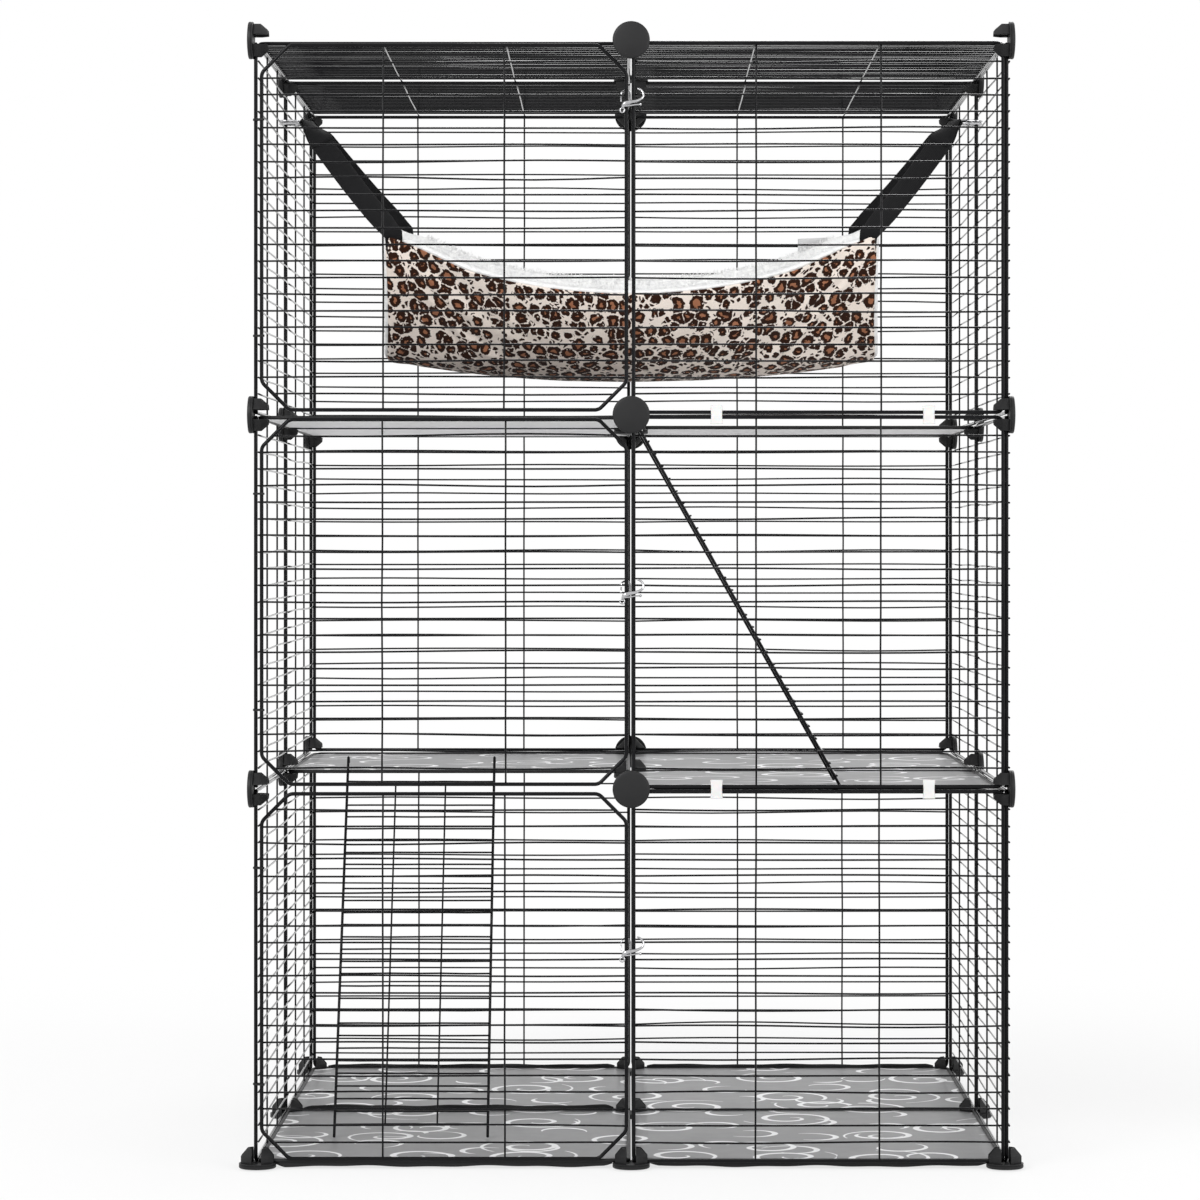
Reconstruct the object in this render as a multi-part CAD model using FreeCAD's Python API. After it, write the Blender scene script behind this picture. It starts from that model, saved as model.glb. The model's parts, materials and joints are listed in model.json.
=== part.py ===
import FreeCAD, Part
import math
import os

# Modular wire cage: two panels wide, two deep and three high, held by slotted connectors.
# Origin at the middle of the footprint on the floor, +X to the right, front at -Y, +Z up.
# All sizes are in millimetres.

# Wire panels
panel = 350.0
joint_gap = 1.0
frame_wire = 3.6
mesh_wire = 1.6
mesh_count = 21
mesh_margin = 19.0
brace_count = 2
panel_bend = 5.0

# Doors
door_gap = 2.2
door_bend = 27.0
hinge_heights = (70.0, 270.0)
latch_drops = {"lower": 151.0, "middle": 167.0, "upper": 57.0}

# Hinge clips that tie a door to the wall beside it
hinge_clip_height = 4.0
hinge_clip_wall = 1.4
hinge_running_gap = 0.3

# Connectors
disc_radius = 17.5
disc_sides = 16
disc_thick = 6.0
block_height = 14.0
block_reach = 15.5
block_shoulder = 7.0
block_tip_reach = 9.5
slot_clearance = 0.4
block_clearance = 0.4

# Trays
sheet_thick = 1.2
sheet_clearance = 0.6

# Ramps
ramp_length = 402.0
ramp_width = 152.0
rail_wire = 2.8
rung_wire = 1.6
rung_count = 29
rung_start = 14.0
rung_pitch = 13.4
rib_count = 2
ramp_bar_gap = 0.3
hook_rise = 20.0
hook_tip_rise = 8.5
hook_back = 4.5
lower_ramp_inset = 60.5
upper_ramp_inset = 15.5

# Hammock
hammock_length = 498.0
hammock_half_chord = 110.0
hammock_bow = 20.0
shell_thick = 4.0
lining_thick = 7.0
layer_gap = 0.3
belly_clearance = 51.6
belly_rise = 21.0
front_depth = 83.0
front_rise = 56.0
rear_depth = 108.0
rear_rise = 49.0
sling_turn = math.radians(72.0)
sling_cuts = 9
sling_steps = 8

# Hammock straps and hooks
strap_width = 23.0
strap_thick = 1.6
strap_inset = 13.0
strap_top_inset = 20.0
hook_wire = 2.4
hook_length = 32.0
hook_hole = 10.0
hook_turn = 25.0
hook_drop = 43.0
hook_gap = 0.6
hook_clearance = 0.4

# Door latches
latch_thick = 2.6
latch_wall = 1.6
latch_hole = 6.2
latch_clearance = 0.4
latch_side_gap = 0.8
latch_arm = 9.0
latch_eye = 8.0
latch_tilt = 15.0
gate_wire = 1.6
gate_gap = 0.3

# White clips on the front right column
clip_width = 11.0
clip_height = 17.6
clip_wall = 2.0
clip_depth = 2.4
clip_clearance = 0.2
clip_left_inset = 80.0
clip_right_inset = 71.5

# Worked out from the sizes above
pitch = panel + joint_gap
side = panel + joint_gap / 2
wall_face = side + frame_wire
slot_half = frame_wire + joint_gap / 2 + slot_clearance
mesh_pitch = (panel - 2 * mesh_margin) / (mesh_count - 1)
bar_middle = joint_gap / 2 + frame_wire / 2
door = panel - 2 * door_gap
tiers = ("lower", "middle", "upper")

across_x = FreeCAD.Vector(1, 0, 0)
across_y = FreeCAD.Vector(0, 1, 0)
upward = FreeCAD.Vector(0, 0, 1)
point = FreeCAD.Vector


def row_bottom(tier):
    """Underside of the wall panels of a tier."""
    return disc_thick + tier * pitch


def level(tier):
    """Height of the connectors' slots above a tier's wall panels."""
    return disc_thick + tier * pitch - joint_gap / 2


def tray_bottom(tier):
    """Underside of the trays: on the discs at the floor, on the slots' lower edges above."""
    if tier == 0:
        return disc_thick
    return level(tier) - slot_half


def tray_middle(tier):
    return tray_bottom(tier) + frame_wire / 2


def tray_surface(tier):
    return tray_middle(tier) + sheet_thick / 2


def mesh_gap_near(height):
    """Height of the middle of the mesh gap that lies nearest to a height in a panel."""
    steps = round((height - mesh_margin) / mesh_pitch - 0.5)
    return mesh_margin + (steps + 0.5) * mesh_pitch


def prism(points, travel):
    """A flat outline pushed along a straight line."""
    outline = Part.makePolygon(points + points[:1])
    return Part.Face(outline).extrude(travel)


def stand(shape, origin, across, up):
    """Turns a shape drawn in its own plane so that its x runs along across and its y along up."""
    normal = across.cross(up)
    place = FreeCAD.Placement(FreeCAD.Matrix(
        across.x, up.x, normal.x, origin.x,
        across.y, up.y, normal.y, origin.y,
        across.z, up.z, normal.z, origin.z,
        0, 0, 0, 1))
    turned = shape.copy()
    turned.Placement = place.multiply(shape.Placement)
    return turned


def save(node, solids):
    Part.makeCompound(solids).exportStep(f"parts/{node}.step")


def cut_rectangle(width, depth, bend, inset=0.0, height=0.0):
    """Corners of a rectangle with cut-off corners, drawn in by an inset."""
    leg = bend - inset * (2 - math.sqrt(2))
    left, right = inset, width - inset
    front, rear = inset, depth - inset
    return [point(left + leg, front, height), point(right - leg, front, height),
            point(right, front + leg, height), point(right, rear - leg, height),
            point(right - leg, rear, height), point(left + leg, rear, height),
            point(left, rear - leg, height), point(left, front + leg, height)]


def bent_frame(size, bend):
    """A wire bent round the edge of a square, flat where it meets other wires."""
    corners = cut_rectangle(size, size, bend, frame_wire / 2, frame_wire / 2)
    start = point(size / 2, frame_wire / 2, frame_wire / 2)
    path = Part.makePolygon([start] + corners[1:] + corners[:1] + [start])
    section = [(0, 0.5), (0.25, 1), (0.75, 1), (1, 0.5), (0.75, 0), (0.25, 0)]
    ring = [point(start.x, frame_wire * y, frame_wire * z) for y, z in section]
    wire = Part.makePolygon(ring + ring[:1])
    mitred = 1
    return path.makePipeShell([wire], True, False, mitred).removeSplitter()


def wire_panel(size, bend, margin):
    """Frame wire, the wires across its back and the braces between them."""
    wires = [bent_frame(size, bend)]
    for index in range(mesh_count):
        height = margin + index * mesh_pitch
        to_edge = min(height, size - height)
        start = max(frame_wire / 2, bend + frame_wire / math.sqrt(2) - to_edge)
        corner = point(start, height - mesh_wire / 2, -mesh_wire)
        wires.append(Part.makeBox(size - 2 * start, mesh_wire, mesh_wire, corner))
    for index in range(brace_count):
        middle = size * (index + 1) / (brace_count + 1)
        corner = point(middle - mesh_wire / 2, frame_wire, 0)
        wires.append(Part.makeBox(mesh_wire, size - 2 * frame_wire, mesh_wire, corner))
    return wires


def column_start(column):
    """Left or front edge of the first or second panel of a row."""
    return column * pitch - side


def connector():
    """Disc with four blocks that leave a cross slot for the panels' edges."""
    rim = []
    for corner in range(disc_sides):
        turn = 2 * math.pi * corner / disc_sides
        rim.append(point(disc_radius * math.cos(turn), disc_radius * math.sin(turn), -disc_thick))
    disc = prism(rim, upward * disc_thick)
    corner_reach = joint_gap + panel_bend + frame_wire * math.sqrt(2)
    notch = corner_reach + block_clearance * math.sqrt(2) - slot_half
    plan = [point(notch, slot_half, 0), point(block_reach, slot_half, 0),
            point(slot_half, block_reach, 0), point(slot_half, notch, 0)]
    out = point(1, 1, 0).normalize()
    along = upward.cross(out)
    face = out * ((block_reach + slot_half) / math.sqrt(2)) - along * block_reach
    tip = out * ((block_tip_reach + slot_half) / math.sqrt(2)) - along * block_reach
    slope = prism([face + upward * block_shoulder, face + upward * block_height, tip + upward * block_height],
                  along * (2 * block_reach))
    block = prism(plan, upward * block_height).cut(slope)
    blocks = []
    for turn in range(4):
        turned = block.copy()
        turned.rotate(point(0, 0, 0), upward, 90 * turn)
        blocks.append(turned)
    return disc.fuse(blocks).removeSplitter()


def make_panels():
    """Walls and roof of wire panels."""
    fixed = wire_panel(panel, panel_bend, mesh_margin)

    def put(node, origin, across, up):
        save(node, [stand(wire, origin, across, up) for wire in fixed])

    for tier, name in enumerate(tiers):
        low = row_bottom(tier)
        put(f"front_panel_{name}", point(column_start(1), -side, low), across_x, upward)
        for column, place in enumerate(("left", "right")):
            right_end = column_start(column) + panel
            put(f"back_panel_{place}_{name}", point(right_end, side, low), -across_x, upward)
        for row, place in enumerate(("front", "rear")):
            rear_end = column_start(row) + panel
            put(f"left_panel_{place}_{name}", point(-side, rear_end, low), -across_y, upward)
            put(f"right_panel_{place}_{name}", point(wall_face, rear_end, low), -across_y, upward)
    roof = tray_bottom(len(tiers)) + frame_wire
    for row, depth in enumerate(("front", "rear")):
        for column, place in enumerate(("left", "right")):
            origin = point(column_start(column), column_start(row) + panel, roof)
            put(f"top_panel_{depth}_{place}", origin, across_x, -across_y)


def make_doors():
    """One door a tier in the front left column, with corners cut off to swing past the discs."""
    leaf = wire_panel(door, door_bend, mesh_margin - door_gap)
    for tier, name in enumerate(tiers):
        origin = point(column_start(0) + door_gap, -side, row_bottom(tier) + door_gap)
        save(f"{name}_door", [stand(wire, origin, across_x, upward) for wire in leaf])


def make_connectors():
    """Connectors under the floor, on the walls and at the middle of each upper level."""
    piece = connector()
    lines = (-side, 0.0, side)

    def put(origin, outward, along):
        return stand(piece, origin, along, (-outward).cross(along))

    save("base_connectors",
         [put(point(x, y, disc_thick), -upward, across_x) for x in lines for y in lines])
    walls = []
    middles = []
    for tier in range(1, len(tiers) + 1):
        height = level(tier)
        for y in lines:
            walls.append(put(point(-wall_face, y, height), -across_x, across_y))
            walls.append(put(point(wall_face, y, height), across_x, across_y))
        walls.append(put(point(0, -wall_face, height), -across_y, across_x))
        walls.append(put(point(0, wall_face, height), across_y, across_x))
        if tier == len(tiers):
            middles.append(put(point(0, 0, tray_bottom(tier) + frame_wire), upward, across_x))
        else:
            middles.append(put(point(0, 0, tray_bottom(tier)), -upward, across_x))
    save("wall_connectors", walls)
    save("centre_connectors", middles)


def make_trays():
    """Plastic trays in wire frames, with corners cut clear of the connectors' blocks."""
    block_edge = block_reach + slot_half
    leg = block_edge + sheet_clearance * math.sqrt(2) - 2 * frame_wire
    frame = bent_frame(panel, panel_bend)
    inside = panel - 2 * frame_wire
    sheet = prism(cut_rectangle(inside, inside, leg), upward * sheet_thick)
    places = {"front_left": (0, 0), "front_right": (1, 0), "rear_left": (0, 1), "rear_right": (1, 1)}
    layout = (("floor_tray", 0, ("front_left", "front_right", "rear_left", "rear_right")),
              ("lower_shelf", 1, ("front_right", "rear_left", "rear_right")),
              ("upper_shelf", 2, ("front_left", "rear_left", "rear_right")))
    floor_frames = []
    shelf_frames = []
    for kind, tier, corners in layout:
        frames = floor_frames if tier == 0 else shelf_frames
        for corner in corners:
            column, row = places[corner]
            origin = point(column_start(column), column_start(row), tray_bottom(tier))
            frames.append(stand(frame, origin, across_x, across_y))
            lift = point(frame_wire, frame_wire, (frame_wire - sheet_thick) / 2)
            save(f"{kind}_{corner}", [stand(sheet, origin + lift, across_x, across_y)])
    save("floor_tray_frames", floor_frames)
    save("shelf_tray_frames", shelf_frames)


def strip(middle_line, width):
    """Outline of a bent wire of one width along a middle line, with mitred bends."""
    half = width / 2
    left = []
    right = []
    last = len(middle_line) - 1
    for index, spot in enumerate(middle_line):
        before = (spot - middle_line[index - 1]) if index > 0 else (middle_line[1] - spot)
        after = (middle_line[index + 1] - spot) if index < last else before
        before = before.normalize()
        after = after.normalize()
        bisector = (upward.cross(before) + upward.cross(after)).normalize()
        stretch = half / bisector.dot(upward.cross(before))
        left.append(spot + bisector * stretch)
        right.append(spot - bisector * stretch)
    return left + right[::-1]


def ramp(drop):
    """Wire ramp drawn with its bar at the origin, running down along +x, hooked over the bar."""
    bar_reach = frame_wire * math.sqrt(5) / 4
    above_bar = bar_reach + ramp_bar_gap + rail_wire / 2
    slope = math.asin(drop / ramp_length)
    down = point(math.cos(slope), -math.sin(slope), 0)
    out = point(math.sin(slope), math.cos(slope), 0)
    lean = out * above_bar
    top = lean - down * ((hook_rise - rail_wire - lean.y) / math.sin(slope))
    tip = point(top.x - hook_back, hook_tip_rise, 0)
    past_foot = lean + down * (ramp_length + 2 * rail_wire)
    outline = strip([past_foot, top, tip], rail_wire)
    long_rail = prism(outline, upward * rail_wire)
    ground = Part.makeBox(2 * ramp_length, ramp_length, rail_wire, point(0, -drop - ramp_length, 0))
    rail = long_rail.cut(ground)
    wires = []
    for offset in (0, ramp_width - rail_wire):
        wires.append(rail.translated(upward * offset))
    rib_length = rung_start + (rung_count - 1) * rung_pitch
    under = lean - out * (rail_wire / 2) + out * (rail_wire - rung_wire)
    for index in range(rib_count):
        middle = ramp_width * (index + 1) / (rib_count + 1)
        start = under + down * (rung_start - rung_wire) + upward * (middle - rung_wire / 2)
        end = under + down * (rib_length + rung_wire) + upward * (middle - rung_wire / 2)
        wires.append(prism([start, end, end + out * rung_wire, start + out * rung_wire],
                           upward * rung_wire))
    for index in range(rung_count):
        foot = lean + out * (rail_wire / 2) + down * (rung_start + index * rung_pitch)
        ahead = foot + down * rung_wire
        wires.append(prism([foot, ahead, ahead + out * rung_wire, foot + out * rung_wire],
                           upward * ramp_width))
    return wires


def make_ramps():
    """Lower ramp in the front left cell, upper ramp in the front right cell."""
    lower_bar = point(lower_ramp_inset + ramp_width - side, bar_middle, tray_middle(1))
    wires = ramp(tray_middle(1) - tray_surface(0))
    save("lower_ramp", [stand(wire, lower_bar, -across_y, upward) for wire in wires])
    upper_bar = point(-bar_middle, upper_ramp_inset + ramp_width - side, tray_middle(2))
    wires = ramp(tray_middle(2) - tray_surface(1))
    save("upper_ramp", [stand(wire, upper_bar, across_x, upward) for wire in wires])


def make_hinge_clips():
    """Two clips a door, each tight on the wall's front wire and loose round the door's wire."""
    wall_bar = point(-side - frame_wire / 2, frame_wire / 2 - side, 0)
    door_bar = point(column_start(0) + door_gap + frame_wire / 2, -side - frame_wire / 2, 0)
    bore = frame_wire * math.sqrt(5) / 4 + hinge_running_gap
    corner_stretch = 1 / math.cos(math.pi / 8)
    outer = (bore + hinge_clip_wall) * corner_stretch
    along = (door_bar - wall_bar).normalize()
    aside = upward.cross(along)

    def around(centre, radius, first, count):
        spots = []
        for index in range(first, first + count):
            turn = math.pi / 8 + index * math.pi / 4
            spots.append(centre + along * (radius * math.cos(turn)) + aside * (radius * math.sin(turn)))
        return spots

    body = prism(around(door_bar, outer, -2, 4) + around(wall_bar, outer, 2, 4),
                 upward * hinge_clip_height)
    hole = prism(around(door_bar, bore * corner_stretch, 0, 8), upward * hinge_clip_height)
    grip = Part.makeBox(frame_wire, frame_wire, hinge_clip_height,
                        wall_bar - point(frame_wire / 2, frame_wire / 2, 0))
    clip = body.cut(hole).cut(grip)
    clips = []
    for tier in range(len(tiers)):
        for height in hinge_heights:
            low = row_bottom(tier) + mesh_gap_near(height) - hinge_clip_height / 2
            clips.append(clip.translated(upward * low))
    save("door_hinge_clips", clips)


def make_latches():
    """A spring clasp on each door's free edge, reaching across the fixed panel's wire, and its gate."""
    bar = point(-joint_gap / 2 - door_gap - frame_wire / 2, -side - frame_wire / 2, 0)
    half_hole = frame_wire / 2 + latch_clearance
    right = frame_wire / 2 + latch_side_gap
    left = right - latch_hole
    outside = half_hole + latch_wall
    arm_end = right + latch_wall + latch_arm
    eye_middle = left - gate_wire - latch_eye / 2
    claw_points = [point(left - gate_wire, -half_hole, 0), point(right, -half_hole, 0),
                   point(right, half_hole, 0), point(left - gate_wire, half_hole, 0),
                   point(left - gate_wire, outside, 0), point(right + latch_wall, outside, 0),
                   point(right + latch_wall, -half_hole, 0), point(arm_end - latch_wall, -half_hole, 0),
                   point(arm_end, -half_hole - latch_wall, 0), point(arm_end - latch_wall, -outside, 0),
                   point(left - gate_wire, -outside, 0)]
    claw = prism(claw_points, upward * latch_thick)
    ring = prism(cut_rectangle(latch_eye, latch_eye, latch_eye / 4), upward * latch_thick)
    inner = latch_eye - 2 * latch_wall
    hole = prism(cut_rectangle(inner, inner, inner / 4), upward * latch_thick)
    hole.translate(point(latch_wall, latch_wall, 0))
    eye = ring.cut(hole)
    eye.translate(point(eye_middle - latch_eye / 2 + latch_wall / 4, -half_hole - latch_eye + latch_wall, 0))
    clasp = claw.fuse(eye).removeSplitter()
    gate_length = 2 * (half_hole - gate_gap)
    gate = prism(cut_rectangle(gate_wire, gate_length, gate_wire / 4), upward * latch_thick)
    gate.translate(point(left - gate_wire, gate_gap - half_hole, 0))
    for tier, name in enumerate(tiers):
        height = row_bottom(tier) + mesh_gap_near(panel - latch_drops[name])
        for node, piece in ((f"{name}_latch", clasp), (f"{name}_latch_gate", gate)):
            shape = piece.translated(point(0, 0, -latch_thick / 2))
            shape.rotate(point(0, 0, 0), across_y, -latch_tilt)
            save(node, [shape.translated(bar + upward * height)])


def make_panel_clips():
    """White clips that hold together the edge wires of two front panels, one above the other."""
    bars = joint_gap / 2 + frame_wire + clip_clearance
    arm = bars + clip_wall
    half = clip_height / 2
    profile = [(-wall_face - clip_depth, -half), (-wall_face, -half), (-wall_face, -arm), (-side, -arm),
               (-side, -bars), (-wall_face, -bars), (-wall_face, bars), (-side + clip_clearance, bars),
               (-side + clip_clearance, bars - clip_wall), (-side + clip_wall, bars - clip_wall),
               (-side + clip_wall, arm), (-wall_face, arm), (-wall_face, half),
               (-wall_face - clip_depth, half)]
    clips = []
    for tier in range(1, len(tiers)):
        for offset in (clip_left_inset, side - clip_right_inset):
            outline = [point(offset - clip_width / 2, y, level(tier) + z) for y, z in profile]
            clips.append(prism(outline, across_x * clip_width))
    save("panel_clips", clips)


def hammock_spread(x):
    """How far along the way from the middle to the ends a place on the hammock is, squared."""
    return (2 * x / hammock_length) ** 2


def hammock_chord(x):
    return hammock_half_chord + hammock_bow * (1 - hammock_spread(x))


def hammock_edges(x):
    """Heights of the front edge, the belly and the rear edge."""
    spread = hammock_spread(x)
    belly = tray_surface(len(tiers) - 1) + belly_clearance
    return (belly + front_depth + front_rise * spread,
            belly + belly_rise * spread,
            belly + rear_depth + rear_rise * spread)


def sling_spot(x, turn, depth):
    """A place on a cut across the hammock: an oval arc from the front edge to the rear edge."""
    front, belly, rear = hammock_edges(x)
    rise = (front if turn < 0 else rear) - belly - depth
    return point(x, (hammock_chord(x) - depth) * math.sin(turn) / math.sin(sling_turn),
                 belly + depth + rise * (1 - math.cos(turn)) / (1 - math.cos(sling_turn)))


def sling(depth, thick):
    """A layer of the hammock: a sagging trough of flat facets between cuts across its length."""
    facets = []

    def skin(rows):
        for near, far in zip(rows, rows[1:]):
            for index in range(len(near) - 1):
                a, b, c, d = near[index], near[index + 1], far[index + 1], far[index]
                facets.append(Part.Face(Part.makePolygon([a, b, c, a])))
                facets.append(Part.Face(Part.makePolygon([a, c, d, a])))

    outer = []
    inner = []
    for cut in range(sling_cuts):
        x = hammock_length * (cut / (sling_cuts - 1) - 0.5)
        turns = [sling_turn * (2 * step / sling_steps - 1) for step in range(sling_steps + 1)]
        outer.append([sling_spot(x, turn, depth) for turn in turns])
        inner.append([sling_spot(x, turn, depth + thick) for turn in turns])
    skin(outer)
    skin(inner)
    for edge in (0, -1):
        skin([[row[edge] for row in outer], [row[edge] for row in inner]])
        skin([outer[edge], inner[edge]])
    layer = Part.Solid(Part.Shell(facets))
    layer.fix(0.01, 0.01, 0.01)
    return layer


def make_hammock():
    """Printed shell and fleece lining."""
    save("hammock_shell", [sling(0, shell_thick)])
    save("hammock_lining", [sling(shell_thick + layer_gap, lining_thick)])


def make_hangers():
    """Webbing straps from the hammock's corners and the hooks that hold them on the side walls."""
    low = row_bottom(len(tiers) - 1) + mesh_gap_near(panel - hook_drop) - hook_wire - hook_gap / 2
    back_room = frame_wire / 2 + (joint_gap / 2 + frame_wire) * math.sin(math.radians(hook_turn))
    reach = back_room + hook_clearance + hook_wire
    outer_width = hook_hole + 2 * hook_wire
    body = prism(cut_rectangle(hook_length, outer_width, outer_width / 4), upward * hook_wire)
    opening = prism(cut_rectangle(hook_length, outer_width, outer_width / 4, hook_wire),
                    upward * hook_wire)
    ring = body.cut(opening).translated(point(-reach, -outer_width / 2, 0))
    hooks = []
    for x_sign, place in ((-1, "left"), (1, "right")):
        for y_sign, depth in ((-1, "front"), (1, "rear")):
            height = low if y_sign < 0 else low + hook_wire + hook_gap
            turn = math.radians(hook_turn)
            inward = point(-x_sign * math.cos(turn), y_sign * math.sin(turn), 0)
            bars = point(x_sign * (side + frame_wire / 2), 0, height)
            hooks.append(stand(ring, bars, inward, upward.cross(inward)))
            foot_x = hammock_length / 2 - strap_inset
            front, belly, rear = hammock_edges(foot_x + strap_width / 2)
            edge = front if y_sign < 0 else rear
            foot = point(x_sign * foot_x, y_sign * (hammock_chord(foot_x) - strap_thick),
                         edge + layer_gap)
            top_middle = bars + inward * (hook_length - reach - hook_wire / 2)
            top = point(x_sign * (side - strap_top_inset), top_middle.y, height - layer_gap)
            half = across_x * (strap_width / 2)
            save(f"hammock_strap_{depth}_{place}",
                 [prism([foot - half, foot + half, top + half, top - half],
                        across_y * (-y_sign * strap_thick))])
    save("hammock_hooks", hooks)


os.makedirs("parts", exist_ok=True)
make_panels()
make_doors()
make_hinge_clips()
make_latches()
make_connectors()
make_trays()
make_ramps()
make_panel_clips()
make_hammock()
make_hangers()
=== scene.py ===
import bpy
import bmesh
import json
import random
from math import asin, cos, exp, pi, radians, sin, sqrt, tan, tau
from mathutils import Matrix, Vector, noise


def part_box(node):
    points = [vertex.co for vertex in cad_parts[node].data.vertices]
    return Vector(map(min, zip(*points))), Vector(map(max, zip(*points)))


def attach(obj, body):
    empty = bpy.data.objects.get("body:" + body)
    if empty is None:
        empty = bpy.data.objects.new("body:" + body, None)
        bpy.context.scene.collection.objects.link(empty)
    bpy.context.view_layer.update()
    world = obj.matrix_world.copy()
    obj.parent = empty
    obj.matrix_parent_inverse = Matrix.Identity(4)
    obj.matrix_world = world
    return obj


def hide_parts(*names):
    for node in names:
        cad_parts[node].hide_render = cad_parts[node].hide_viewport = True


# Looks of a modular wire cage. Sizes are in metres: +X right, front at -Y, +Z up.
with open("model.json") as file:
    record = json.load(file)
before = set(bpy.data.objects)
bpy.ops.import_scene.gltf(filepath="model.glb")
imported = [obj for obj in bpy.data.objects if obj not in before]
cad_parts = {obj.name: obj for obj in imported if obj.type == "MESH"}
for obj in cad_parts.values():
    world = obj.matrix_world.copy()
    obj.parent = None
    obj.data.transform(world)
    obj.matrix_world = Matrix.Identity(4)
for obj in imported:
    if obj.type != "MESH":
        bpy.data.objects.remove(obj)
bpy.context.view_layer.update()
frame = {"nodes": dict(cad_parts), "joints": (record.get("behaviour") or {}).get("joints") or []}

TIERS = ("lower", "middle", "upper")
X, Y, Z = Vector((1, 0, 0)), Vector((0, 1, 0)), Vector((0, 0, 1))
PIVOTS = {joint["child"]: Vector(joint["pos_m"]) for joint in frame["joints"]}

# Wire panels
FRAME_WIRE = 0.0036
ROUND_SIDES = 12
MESH_WIRE = 0.0018
MESH_SIDES = 8
MESH_COUNT = 21
MESH_PITCH = 0.0156
MESH_DEPTH = 0.0008
BRACE_COUNT = 2
BRACE_INSET = FRAME_WIRE * 0.7
PANEL_CORNER = 0.007
DOOR_BEND = 0.027
DOOR_CORNER = 0.009
WIRE_BOW = 0.0005
TIP_REACH, TIP_SIZE = 0.35, 0.7

# Connectors
DISC_RADIUS = 0.0175
DISC_THICK = 0.006
DISC_DOME = 0.0014
DISC_SIDES = 48
GROOVE_DEPTH = 0.0004
BLOCK_HEIGHT = 0.014
BLOCK_REACH = 0.0155
BLOCK_SHOULDER = 0.007
BLOCK_TIP_REACH = 0.0095
BLOCK_NOTCH = 0.0072
BLOCK_EASE = 0.0006
BLOCK_SHARP = 0.35
SLOT_HALF = 0.0045

# Trays
SHEET_THICK = 0.0012
SHEET_CUT = 0.01365
SHEET_WAVE = 0.0004
CURL_START, CURL_PITCH = 0.05, 0.21
CURL_THIN, CURL_SOFT = 0.005, 0.006
# Dark strips at the tray edges: the hanging one below the floor's front is partly the sheet's edge and partly
# painted shade; the ones that stand up are painted shade in the gaps.
FILM_AND_SHADE_HANG = 0.0048
FILM_AND_SHADE_SWING = 0.0006
FILM_AND_SHADE_UNEVEN = 0.20
SEAM_SHADE_RISE = {"left": 0.0045, "right": 0.0012}
REAR_SHADE_RISE = 0.0032
SHELF_SHADE_RISE = 0.0018
FILM_AND_SHADE_THICK = 0.0004

# Ramps
RAIL_WIRE = 0.0028
RUNG_COUNT = 29
RUNG_START = 0.014
RUNG_PITCH = 0.0134
RUNG_INSET = 0.004
RIB_COUNT = 2
RAMP_LENGTH = 0.402
RAMP_ABOVE_BAR = 0.0037
HOOK_RISE = 0.020
HOOK_TIP_RISE = 0.0085
HOOK_BACK = 0.0045
HOOK_CORNER = 0.003

# Hinge clips
HINGE_HEIGHTS = (0.070, 0.270)
HINGE_CLIP_HEIGHT = 0.0020
HINGE_CLIP_WALL = 0.0006
HINGE_BORE = 0.0021

# White clips
CLIP_OFFSETS = (0.080, 0.279)
CLIP_WIDTH = 0.011
CLIP_HEIGHT = 0.0176
CLIP_WALL = 0.002
CLIP_DEPTH = 0.0024
CLIP_CLEARANCE = 0.0002
CLIP_FLARE = 0.14
CLIP_EASE = 0.0004

# Clasps
LATCH_TILT = radians(15)
GATE_REACH = 0.0044
EYE_RADIUS, EYE_WIRE = 0.0021, 0.0015

# Hammock
HALF_CHORD = 0.110
CHORD_BOW = 0.020
BELLY_RISE = 0.021
FRONT_DEPTH = 0.083
FRONT_RISE = 0.056
REAR_DEPTH = 0.108
REAR_RISE = 0.049
SLING_TURN = radians(72)
SLING_COLUMNS = 120
SLING_ROWS = 80
SKIN_DEPTH = 0.0008
STRAP_PULL, END_PULL, CLOTH_UNEVEN = 0.0045, 0.0022, 0.0018
FOLD_START, FOLD_SLANT, FOLD_WIDTH = 0.34, 0.27, 0.05
RIDGE_SHIFT, RIDGE_WIDTH, RIDGE_SHARE = 0.11, 0.06, 0.6
HEM_PLACE, HEM_WIDTH = 0.10, 0.035
DRAPE_CAP = 0.007
DRAPE_FRAMES = 20
DRAPE_HELD = 6
DRAPE_CLOTH = {"quality": 6, "mass": 0.15, "tension_stiffness": 30, "compression_stiffness": 12,
               "shear_stiffness": 10, "bending_stiffness": 1.5, "shrink_min": -0.02}
SHELL_MARGIN_COLUMNS = 1
SHELL_THICK = 0.0026
LINING_START = 0.0036
LINING_THICK = 0.006
LINING_LIP = 0.0014
LINING_FLUFF = 0.0011
TUFT_SCALE, FINE_TUFT_SCALE, FINE_TUFT_SHARE = 210, 470, 0.6
PILE_COUNT = 14000
PILE_LENGTHS = (0.00144, 0.00312)
PILE_INWARD = (0.2, 1.0)
PILE_WIDTH = 0.0005
PILE_SPREAD = 0.0012
PILE_LEAN = 0.45
PILE_CLEARANCE = 0.036
PILE_EDGE_ROWS, PILE_EDGE_SHARE = 3, 0.6
TAG_SIZE = (0.031, 0.019)
TAG_PLACE = 0.189
TAG_ROOT, TAG_CURL, TAG_TILT = 0.003, 0.0022, 0.0012
TAG_THICK = 0.0004

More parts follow.
